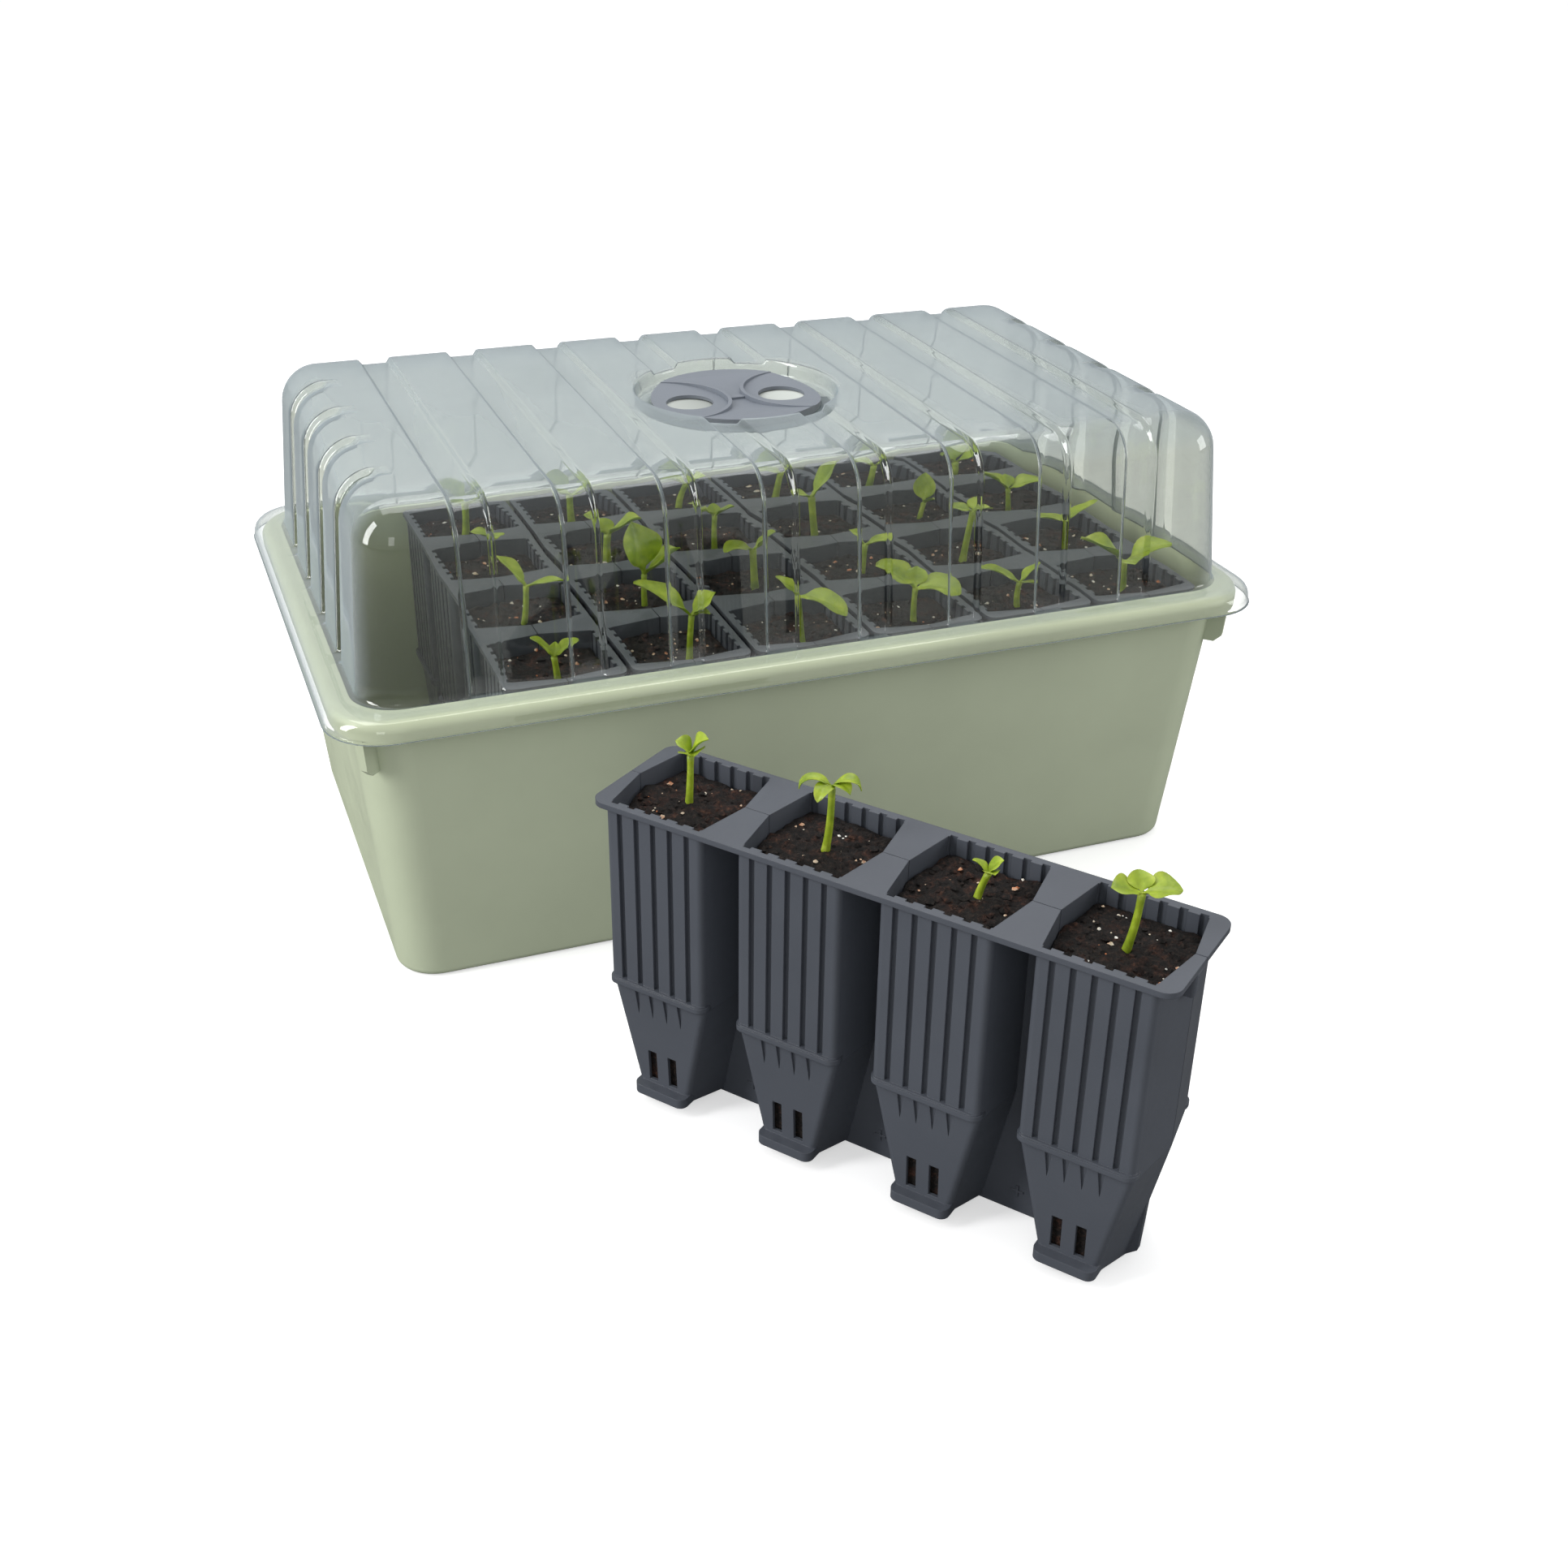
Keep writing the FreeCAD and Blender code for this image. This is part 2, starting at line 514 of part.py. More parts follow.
def leaf_plate(foot, heading, rise, length, width):
    """A flat many-sided leaf that starts at foot and points along heading, tipped up by rise."""
    turns = [2 * math.pi * (i + 0.5) / LEAF_SIDES for i in range(LEAF_SIDES)]
    outline = [(length / 2 * math.cos(t), width / 2 * math.sin(t), 0) for t in turns]
    leaf = prism(outline, (0, 0, LEAF_THICKNESS))
    leaf.translate(V(length / 2 - 0.8, 0, -LEAF_THICKNESS / 2))
    leaf.rotate(V(0, 0, 0), V(0, 1, 0), -rise)
    leaf.rotate(V(0, 0, 0), V(0, 0, 1), heading)
    leaf.translate(foot)
    return leaf


def stem_rod(foot, rise):
    """A stem with a level foot, leaning along rise."""
    turns = [2 * math.pi * i / STEM_SIDES for i in range(STEM_SIDES)]
    ring = [(STEM_RADIUS * math.cos(t), STEM_RADIUS * math.sin(t), 0) for t in turns]
    return prism(ring, rise).translated(foot)


def make_seedlings(name, place, angle):
    """The seedlings of one strip, in the tray's axes, on stems that start on the compost."""
    plants = []
    turn = math.radians(angle)
    along, across = V(math.cos(turn), math.sin(turn), 0), V(math.sin(turn), -math.cos(turn), 0)
    for x, (foot, lean, height, leaves) in zip(cell_centres(), SEEDLINGS[name]):
        base = place + along * (x + foot[0]) + across * foot[1] + V(0, 0, SOIL_TOP)
        rise = along * lean[0] + across * lean[1] + V(0, 0, height)
        top = base + rise
        plants.append(fuse_all([stem_rod(base, rise)] + [leaf_plate(top, *leaf) for leaf in leaves]))
    return Part.makeCompound(plants)


def strip_parts(name, half, soil, place, angle, labels):
    """The nodes of one strip standing at place, its long axis turned to angle."""
    parts = {}
    for label, turn in zip(labels, (0, 180)):
        piece = half.copy()
        piece.rotate(V(0, 0, 0), V(0, 0, 1), turn + angle)
        piece.translate(place)
        parts[f"{name}_{label}"] = piece
    compost = soil.copy()
    compost.rotate(V(0, 0, 0), V(0, 0, 1), angle)
    compost.translate(place)
    parts[f"{name}_compost"] = compost
    parts[f"{name}_seedlings"] = make_seedlings(name, place, angle)
    return parts


def main():
    os.makedirs("parts", exist_ok=True)
    parts = {"tray": make_tray(), "dome": make_dome(), "vent_disc": make_vent()}
    half = make_half_strip()
    soil = make_soil()
    for i in range(STRIP_COUNT):
        place = V(STRIP_FIRST_X + i * STRIP_PITCH, 0, TRAY_FLOOR + STRIP_REST_GAP)
        labels = ("right_half", "left_half")
        parts.update(strip_parts(f"strip_{i + 1}", half, soil, place, 90, labels))
    place = V(LOOSE_CENTRE[0], LOOSE_CENTRE[1], 0)
    labels = ("front_half", "back_half")
    parts.update(strip_parts("loose_strip", half, soil, place, LOOSE_ANGLE, labels))
    for name, shape in parts.items():
        shape.exportStep(f"parts/{name}.step")
        print(name, len(shape.Solids), "solids", round(shape.Volume / 1000, 1), "cm3", shape.isValid())


main()
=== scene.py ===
"""Looks of the humidity dome tray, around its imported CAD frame.  Metres in the scene; the
dimensions below are in millimetres, in the part's own frame, and pass through MM."""

import math
import random

import bmesh
import bpy
from mathutils import Matrix, Vector, noise

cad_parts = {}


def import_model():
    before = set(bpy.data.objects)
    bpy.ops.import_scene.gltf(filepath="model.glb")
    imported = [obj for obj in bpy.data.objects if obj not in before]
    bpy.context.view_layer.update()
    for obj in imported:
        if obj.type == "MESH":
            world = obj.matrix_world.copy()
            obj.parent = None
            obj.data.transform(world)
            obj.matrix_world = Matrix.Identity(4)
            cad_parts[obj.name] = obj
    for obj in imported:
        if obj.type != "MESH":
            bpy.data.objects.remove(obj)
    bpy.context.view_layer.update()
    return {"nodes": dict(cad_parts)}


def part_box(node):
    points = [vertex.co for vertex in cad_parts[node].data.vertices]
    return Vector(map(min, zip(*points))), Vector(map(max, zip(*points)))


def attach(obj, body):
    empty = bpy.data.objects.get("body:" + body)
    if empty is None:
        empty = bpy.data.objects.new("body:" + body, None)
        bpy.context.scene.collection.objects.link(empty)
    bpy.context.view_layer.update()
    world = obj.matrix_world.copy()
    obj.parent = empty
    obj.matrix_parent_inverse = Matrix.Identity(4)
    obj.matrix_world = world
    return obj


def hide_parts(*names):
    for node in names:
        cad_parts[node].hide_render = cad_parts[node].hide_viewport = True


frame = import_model()

MM = 0.001

# ---- dimensions, in millimetres, as the CAD model has them -----------------------------------
DOME_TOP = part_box("dome")[1].z / MM
DOME_FLANGE_TOP = 122.1
DOME_SEAT = 121.2
DOME_WALL = 0.45                   # thin film, as the photograph shows it
DOME_BASE_HALF = 177.5             # half length where the wall meets the flange
DOME_TAPER = 6.0                   # how far each wall leans in over the dome's height
DOME_ROUND = 16.0                  # edge round between walls and roof
DOME_LENGTH_OVER_WIDTH = 71.2      # half length minus half width
GROOVE_PITCH = 37.8
GROOVE_COUNT = 8
GROOVE_HALF = 7.1
GROOVE_DEPTH = 2.2
GROOVE_FLANK = 2.2
FLANK_STEPS = 6                    # mesh lines down each flank
END_GROOVES = (-56.7, -18.9, 18.9, 56.7)
END_GROOVE_HALF = 5.6
FOOT_CORNER = 17.0                 # plan corner radius where the wall meets the flange
LIP_CORNER = 22.0                  # and at the flange's outer edge
LIP_HALF = 190.0                   # half length over the flange
LIP_ROUND = 4.9
RECESS_RADIUS = 41.5
RECESS_DEPTH = 6.4
PATCH_HALF = 48.0                  # the square of roof that is laid out round the recess
DOME_HOLE_RADIUS = 9.0
DOME_HOLE_OFFSET = 20.0
STUD_HOLE_RADIUS = 3.08

CELL_PITCH = 51.3
CELL_CENTRES = [(i - 1.5) * CELL_PITCH for i in range(4)]
CELL_MID = 20.6                    # half width of a compost plug at the seam
CELL_FRONT = 17.3                  # and at its outer face
CELL_DEPTH = 19.6
TAPER_Z = 48.0
FOOT_MID = 11.8
FOOT_FRONT = 7.8
FOOT_DEPTH = 17.6
FOOT_LOW = 2.6                     # underside of a plug at the seam
FOOT_HIGH = 6.2                    # and at its outer face
SOIL_TOP = 112.1                   # level compost, above the strip's underside
SOIL_LUMPS = 130                   # per cell
SOIL_LUMP_RADII = (0.5, 0.8, 1.1, 1.5, 2.0)
SOIL_LUMP_FLATNESS = 0.7           # height over width
SPECKS = 26                        # per cell
SPECK_RADII = (0.25, 0.35, 0.45, 0.65, 1.0)
SPECK_FLATNESS = 0.8
SPECK_LIFT = 0.15                  # above the compost that it lies on
SCATTER_MARGIN = 1.6               # lumps and specks keep this far inside a cell
STEM_RADIUS = 1.25
STEM_ROOT = 2.0                    # how far a stem starts below the level compost
LEAF_FULLNESS = 1.15               # times each leaf's width in the table below

# Where each strip stands: x, y, z of its foot's middle, and its heading in degrees.
FIRST_STRIP_X = -101.5
STRIP_PITCH = 49.0
TRAY_FLOOR = 1.8                   # with the strips' clearance
STRIPS = {f"strip_{i + 1}": (FIRST_STRIP_X + STRIP_PITCH * i, 0.0, TRAY_FLOOR, 90.0)
          for i in range(6)}
STRIPS["loose_strip"] = (-37.6, -252.2, 0.0, -53.1)

# One row per seedling: stem foot (along, across), stem top shift (along, across), stem height,
# then its leaves as (heading, rise, length, width, droop); angles in degrees, in the part's axes.
SEEDLINGS = {
    "strip_1": [
        ((-8, 0), (0, -1), 9, [(158, 46, 12, 7, 30), (-20, 38, 12, 8, 35), (60, 60, 6, 4, 10)]),
        ((-6, 0), (0, 2), 16, [(146, 50, 16, 9, 20), (-22, 12, 15, 6, 30)]),
        ((-2, 0), (0, 1), 15, [(165, 30, 10, 8, 40), (0, 20, 7, 5, 30), (-80, 25, 8, 7, 40)]),
        ((-5, 0), (0, 0), 18, [(160, 30, 13, 11, 50), (-20, 30, 12, 11, 50), (-90, 20, 9, 8, 40)]),
    ],
    "strip_2": [
        ((-8, 3), (0, 1), 18, [(160, 34, 26, 12, 35), (-5, 42, 13, 11, 25), (-50, 20, 9, 6, 50)]),
        ((-5, 2), (0, 0), 14, [(118, 72, 22, 16, 20), (-15, 40, 19, 17, 30)]),
        ((-4, 3), (0, 0), 12, [(160, 40, 15, 12, 40), (-20, 32, 16, 14, 45), (100, 50, 8, 6, 30)]),
        ((-4, 0), (0, -1), 15, [(160, 36, 13, 12, 50), (-20, 30, 14, 13, 50), (-95, 20, 9, 8, 50)]),
    ],
    "strip_3": [
        ((-8, 1), (0, -2), 20, [(150, 38, 12, 7, 30), (-40, -12, 21, 13, 62)]),
        ((-1, 2), (0, -1), 17, [(175, 5, 13, 9, 70), (-20, 42, 13, 10, 25)]),
        ((-5, 1), (0, 0), 15, [(160, 28, 14, 8, 40), (-20, 30, 10, 7, 35), (80, 50, 6, 5, 20)]),
        ((-5, 1), (0, 2), 13, [(160, 36, 13, 11, 50), (-20, 26, 12, 11, 45)]),
    ],
    "strip_4": [
        ((-3, 2), (0, 0), 14, [(150, 30, 19, 16, 45), (-35, 0, 19, 16, 65), (60, 45, 10, 8, 30)]),
        ((-4, 1), (0, 1), 14, [(150, 40, 10, 7, 30), (-20, 18, 13, 8, 30)]),
        ((-5, 0), (0, -2), 18, [(165, 18, 11, 8, 40), (-5, 58, 21, 13, 20)]),
        ((-5, 0), (0, 1), 13, [(160, 28, 12, 9, 45), (-20, 26, 10, 8, 40)]),
    ],
    "strip_5": [
        ((-3, 0), (0, 0), 10, [(160, 24, 17, 8, 30), (-10, 48, 12, 6, 30), (-40, 10, 7, 4, 40)]),
        ((-2, 0), (0, 3), 22, [(158, 12, 10, 7, 40), (-22, 12, 10, 7, 40), (60, 40, 8, 5, 30)]),
        ((0, 4), (0, 2), 7, [(60, 74, 14, 9, 15), (-60, 30, 7, 5, 40)]),
        ((-5, -1), (0, 1), 11, [(160, 36, 10, 8, 40), (-20, 34, 10, 8, 40)]),
    ],
    "strip_6": [
        ((-6, -1), (0, -1), 14, [(152, 30, 22, 17, 45), (-25, 26, 21, 13, 40),
                                 (-100, 20, 13, 11, 60)]),
        ((-4, 1), (0, 0), 12, [(165, 12, 15, 8, 30), (-10, 40, 16, 7, 30)]),
        ((-4, -1), (0, -1), 10, [(155, 38, 14, 10, 40), (-22, 18, 16, 10, 40), (80, 45, 8, 6, 30)]),
        ((-5, -4), (0, 0), 8, [(120, 54, 14, 11, 30), (-25, 30, 13, 11, 45), (170, 30, 10, 8, 40)]),
    ],
    "loose_strip": [
        ((-2, -1), (1, 0), 18, [(150, 50, 8, 7, 85), (-30, 52, 10, 9, 80), (-95, 30, 8, 8, 95)]),
        ((0, 0), (2, 0), 23, [(160, 4, 14, 5.5, 150), (-30, 8, 13, 5.5, 155),
                              (-140, 0, 11, 5, 135), (-65, 12, 10, 4.5, 130)]),
        ((2, -1), (3, -1), 9, [(150, 44, 7, 5, 60), (-20, 50, 7, 6, 60), (-90, 30, 6, 5, 70)]),
        ((0, 0), (3, 0), 20, [(165, 18, 10, 9, 45), (-30, 12, 12, 10, 55), (75, 34, 8, 7, 40)]),
    ],
}


# ---- mesh helpers ----------------------------------------------------------------------------
def piece_from(name, vertices, faces, sharp_degrees=35.0):
    """A smooth-shaded object from vertices in millimetres."""
    mesh = bpy.data.meshes.new(name)
    mesh.from_pydata([(x * MM, y * MM, z * MM) for x, y, z in vertices], [], faces)
    mesh.validate()
    mesh.shade_smooth()
    mesh.set_sharp_from_angle(angle=math.radians(sharp_degrees))
    piece = bpy.data.objects.new(name, mesh)
    bpy.context.scene.collection.objects.link(piece)
    return piece


def smooth_step(t):
    """An S-curve from 0 to 1."""
    t = min(max(t, 0.0), 1.0)
    return t * t * (3 - 2 * t)


def between(a, b, share):
    return a + (b - a) * share


# ---- camera, floor and light -----------------------------------------------------------------
CAMERA_PLACE = (-0.2479, -0.6912, 0.4112)
CAMERA_ANGLES = (21.46, 28.89, 0.86)   # yaw, pitch and roll, in degrees
SENSOR_WIDTH = 36.0
FOCAL_LENGTH = 41.87
SKY_STRENGTH = 0.66
SKY_LEVEL = (0.66, 0.69, 0.70)         # near the horizon
SKY_ABOVE = (1.0, 1.0, 1.0)
LAMP_TARGET = (0, -0.1, 0.08)
LAMPS = {                              # name: place, size, watts
    "KeyLeft": ((-1.7, -0.1, 0.9), (0.5, 1.5), 25),
    "Overhead": ((0.1, 0.5, 1.7), (1.6, 1.0), 14),
    "FillFront": ((-0.9, -2.2, 1.0), (0.6, 0.9), 4),
    "FillRight": ((1.7, -0.9, 0.6), (0.8, 0.8), 9),
}
FLOOR_HALF = 8.0
FLOOR_DROP = 0.0002                    # below the feet, so that the surfaces don't coincide


def add_camera():
    """The photograph's camera, as solved from its straight edges."""
    yaw, pitch, roll = (math.radians(a) for a in CAMERA_ANGLES)
    forward = Vector((math.sin(yaw) * math.cos(pitch), math.cos(yaw) * math.cos(pitch),
                      -math.sin(pitch)))
    level = Vector((math.cos(yaw), -math.sin(yaw), 0))
    up = level.cross(forward)
    right = math.cos(roll) * level + math.sin(roll) * up
    up = right.cross(forward)
    camera = bpy.data.cameras.new("Camera")
    camera.sensor_width = SENSOR_WIDTH
    camera.lens = FOCAL_LENGTH
    camera.clip_start = 0.01
    holder = bpy.data.objects.new("Camera", camera)
    turn = Matrix((right, up, -forward)).transposed().to_4x4()
    holder.matrix_world = Matrix.Translation(CAMERA_PLACE) @ turn
    bpy.context.scene.collection.objects.link(holder)
    bpy.context.scene.camera = holder


def add_softbox(name, place, size, watts):
    """A rectangular lamp that faces the object."""
    lamp = bpy.data.lights.new(name, "AREA")
    lamp.shape = "RECTANGLE"
    lamp.size, lamp.size_y = size
    lamp.energy = watts
    holder = bpy.data.objects.new(name, lamp)
    holder.location = place
    aim = Vector(LAMP_TARGET) - Vector(place)
    holder.rotation_euler = aim.to_track_quat("-Z", "Y").to_euler()
    bpy.context.scene.collection.objects.link(holder)


def seen_directly(nodes, links):
    """A socket that is 1 for rays from the eye, straight or through the dome, 0 for bounces."""
    rays = nodes.new("ShaderNodeLightPath")
    either = nodes.new("ShaderNodeMath")
    either.operation = "MAXIMUM"
    links.new(rays.outputs["Is Camera Ray"], either.inputs[0])
    links.new(rays.outputs["Is Transmission Ray"], either.inputs[1])
    return either.outputs[0]


def add_studio():
    """A white studio: plain white behind the object, and a dimmer sky for what it lights and
    mirrors."""
    world = bpy.data.worlds.new("Studio")
    world.use_nodes = True
    tree = world.node_tree
    sky = tree.nodes["Background"]
    sky.inputs["Strength"].default_value = SKY_STRENGTH
    direction = tree.nodes.new("ShaderNodeTexCoord")
    split = tree.nodes.new("ShaderNodeSeparateXYZ")
    shades = tree.nodes.new("ShaderNodeValToRGB")
    level, above = shades.color_ramp.elements
    level.position = 0.0
    level.color = (*SKY_LEVEL, 1)
    above.position = 0.75
    above.color = (*SKY_ABOVE, 1)
    white = tree.nodes.new("ShaderNodeBackground")
    white.inputs["Color"].default_value = (1, 1, 1, 1)
    mix = tree.nodes.new("ShaderNodeMixShader")
    tree.links.new(direction.outputs["Generated"], split.inputs[0])
    tree.links.new(split.outputs["Z"], shades.inputs[0])
    tree.links.new(shades.outputs[0], sky.inputs["Color"])
    tree.links.new(seen_directly(tree.nodes, tree.links), mix.inputs[0])
    tree.links.new(sky.outputs[0], mix.inputs[1])
    tree.links.new(white.outputs[0], mix.inputs[2])
    tree.links.new(mix.outputs[0], tree.nodes["World Output"].inputs["Surface"])
    bpy.context.scene.world = world
    for name, (place, size, watts) in LAMPS.items():
        add_softbox(name, place, size, watts)
    bpy.context.scene.view_settings.view_transform = "Standard"


def add_floor():
    """The studio's pale floor, which isn't part of the object."""
    steps = 8
    floor_mesh = bpy.data.meshes.new("Floor")
    grid = bmesh.new()
    bmesh.ops.create_grid(grid, x_segments=steps, y_segments=steps, size=FLOOR_HALF)
    grid.to_mesh(floor_mesh)
    grid.free()
    floor = bpy.data.objects.new("Floor", floor_mesh)
    floor.location.z = -FLOOR_DROP
    bpy.context.scene.collection.objects.link(floor)
    floor.data.materials.append(floor_material())


# ---- materials -------------------------------------------------------------------------------
class Shader:
    """A small wrapper that adds and links a material's nodes."""

    def __init__(self, name):
        self.material = bpy.data.materials.new(name)
        self.material.use_nodes = True
        self.tree = self.material.node_tree
        self.tree.nodes.clear()
        self.output = self.add("ShaderNodeOutputMaterial")

    def add(self, kind, **values):
        """A new node; each value sets its property of that name, or else its input."""
        node = self.tree.nodes.new(kind)
        for key, value in values.items():
            if hasattr(node, key):
                setattr(node, key, value)
            else:
                node.inputs[key.replace("_", " ")].default_value = value
        return node

    def link(self, source, node, socket):
        self.tree.links.new(source, node.inputs[socket])

    def position(self):
        return self.add("ShaderNodeTexCoord").outputs["Object"]

    def noise(self, scale, detail=3.0, roughness=0.55):
        node = self.add("ShaderNodeTexNoise", Scale=scale, Detail=detail, Roughness=roughness)
        self.link(self.position(), node, "Vector")
        return node.outputs["Fac"]

    def ramp(self, source, stops):
        """A colour ramp; each stop is (place, colour)."""
        node = self.add("ShaderNodeValToRGB")
        elements = node.color_ramp.elements
        while len(elements) < len(stops):
            elements.new(0.5)
        for element, (place, colour) in zip(elements, stops):
            element.position = place
            element.color = (*colour, 1)
        self.link(source, node, "Fac")
        return node.outputs["Color"]

    def cloudy(self, source, low, high):
        """Two colours that shade into each other over what noise covers."""
        return self.ramp(source, [(0.3, low), (0.7, high)])

    def range(self, source, low, high, from_low=0.3, from_high=0.7):
        """Maps from_low..from_high, by default what noise covers, onto low..high, clamped."""
        node = self.add("ShaderNodeMapRange")
        node.inputs["From Min"].default_value = from_low
        node.inputs["From Max"].default_value = from_high
        node.inputs["To Min"].default_value = low
        node.inputs["To Max"].default_value = high
        self.link(source, node, "Value")
        return node.outputs["Result"]

    def blend(self, share, low, high):
        """The colour low where share is 0 and high where it is 1; each is a colour or a socket."""
        node = self.add("ShaderNodeMixRGB")
        self.link(share, node, "Fac")
        for socket, colour in (("Color1", low), ("Color2", high)):
            if isinstance(colour, tuple):
                node.inputs[socket].default_value = (*colour, 1)
            else:
                self.link(colour, node, socket)
        return node.outputs["Color"]

    def bump(self, height, strength, distance):
        node = self.add("ShaderNodeBump", Strength=strength, Distance=distance)
        self.link(height, node, "Height")
        return node.outputs["Normal"]

    def show(self, shader):
        self.link(shader.outputs[0], self.output, "Surface")
        return self.material


def srgb(red, green, blue):
    """Linear colour from 0-255 screen values."""
    return tuple((c / 255 / 12.92) if c <= 10 else ((c / 255 + 0.055) / 1.055) ** 2.4
                 for c in (red, green, blue))


def shade(colour, factor):
    """The colour made brighter or darker by factor."""
    return tuple(min(1.0, c * factor) for c in colour)


SAGE = srgb(195, 204, 176)
SLATE = srgb(79, 83, 91)
VENT_GREY = srgb(119, 125, 134)
PLASTIC_IOR = 1.49
DARK_CRUMBS = ((0.30, srgb(8, 7, 7)), (0.52, srgb(27, 22, 20)), (0.72, srgb(62, 48, 41)))
RED_FIBRE = ((0.30, srgb(18, 10, 8)), (0.52, srgb(58, 34, 25)), (0.72, srgb(112, 72, 52)))
BARK_TO_PERLITE = ((0.38, srgb(196, 120, 78)), (0.50, srgb(214, 196, 170)),
                   (0.62, srgb(238, 236, 228)))
LEAF_GREENS = ((0.30, srgb(118, 140, 30)), (0.55, srgb(152, 172, 42)), (0.75, srgb(184, 200, 76)))
# The dome's sheet.
SHEET_IOR = 1.46
FLANGE_TINT = (0.92, 0.93, 0.90)
WALL_TINTS = ((0.62, 0.64, 0.60), (0.66, 0.68, 0.64))
ROOF_TINT = (0.61, 0.65, 0.64)
WALL_HEIGHTS = (0.1225, 0.129)     # metres over which the flange's tint becomes the wall's
ROOF_HEIGHTS = (0.180, 0.186)      # and the wall's becomes the roof's
# Tints of the veil, which is the sheet's milky haze and a painted reflection of the studio in one.
HAZE_AND_SHEEN_TINTS = ((0.29, 0.34, 0.365), (0.32, 0.37, 0.395))
# Share of the veil (milky haze and a painted reflection of the studio) at each value of Layer
# Weight's Facing, which is 0 face on and 1 edge on.
HAZE_AND_SHEEN_SHARES = ((0.22, 0.0), (0.45, 0.20), (0.64, 0.34), (0.74, 0.52), (0.90, 0.60))
# Painted white under the vent disc, standing in for the light seen through its holes.
VENT_PAINTED_WHITE = (0.55, 0.58, 0.55)
VENT_PAINTED_WHITE_SHARE = 0.9
UNDER_VENT = (0.030, 0.033)        # metres from the disc's axis over which its painted white ends
LAMPLIGHT_THROUGH = (0.94, 0.94, 0.92)


def plastic_material(name, colour, roughness, grain_scale, grain_height, mottle=0.05, edge=0.0):
    """Moulded plastic: slight cloudy variation of colour and gloss, a fine surface grain, and
    edges that catch the light as if rounded by edge millimetres."""
    s = Shader(name)
    tint = s.cloudy(s.noise(14.0, 4.0), shade(colour, 1 - mottle), shade(colour, 1 + mottle))
    surface = s.add("ShaderNodeBsdfPrincipled", IOR=PLASTIC_IOR)
    s.link(tint, surface, "Base Color")
    gloss = s.range(s.noise(60.0, 5.0), roughness - 0.06, roughness + 0.08)
    s.link(gloss, surface, "Roughness")
    grain = s.add("ShaderNodeBump", Strength=0.35, Distance=grain_height * MM)
    s.link(s.noise(grain_scale, 2.0), grain, "Height")
    if edge:
        rounded = s.add("ShaderNodeBevel", samples=4, Radius=edge * MM)
        s.link(rounded.outputs["Normal"], grain, "Normal")
    s.link(grain.outputs["Normal"], surface, "Normal")
    return s.show(surface)


def floor_material():
    """Pale floor that looks bright but throws little light back up."""
    s = Shader("StudioFloor")
    seen = s.add("ShaderNodeBsdfDiffuse")
    s.link(s.cloudy(s.noise(1.5, 2.0), (0.80,) * 3, (0.82,) * 3), seen, "Color")
    glow = s.add("ShaderNodeEmission", Color=(1, 1, 1, 1), Strength=0.5)
    bright = s.add("ShaderNodeAddShader")
    s.link(seen.outputs[0], bright, 0)
    s.link(glow.outputs[0], bright, 1)
    bounce = s.add("ShaderNodeBsdfDiffuse", Color=(0.33, 0.33, 0.33, 1))
    mirrored = s.add("ShaderNodeBsdfDiffuse", Color=(0.10, 0.10, 0.10, 1))
    unseen = s.add("ShaderNodeMixShader")
    s.link(s.add("ShaderNodeLightPath").outputs["Is Glossy Ray"], unseen, 0)
    s.link(bounce.outputs[0], unseen, 1)
    s.link(mirrored.outputs[0], unseen, 2)
    both = s.add("ShaderNodeMixShader")
    s.link(seen_directly(s.tree.nodes, s.tree.links), both, 0)
    s.link(unseen.outputs[0], both, 1)
    s.link(bright.outputs[0], both, 2)
    return s.show(both)


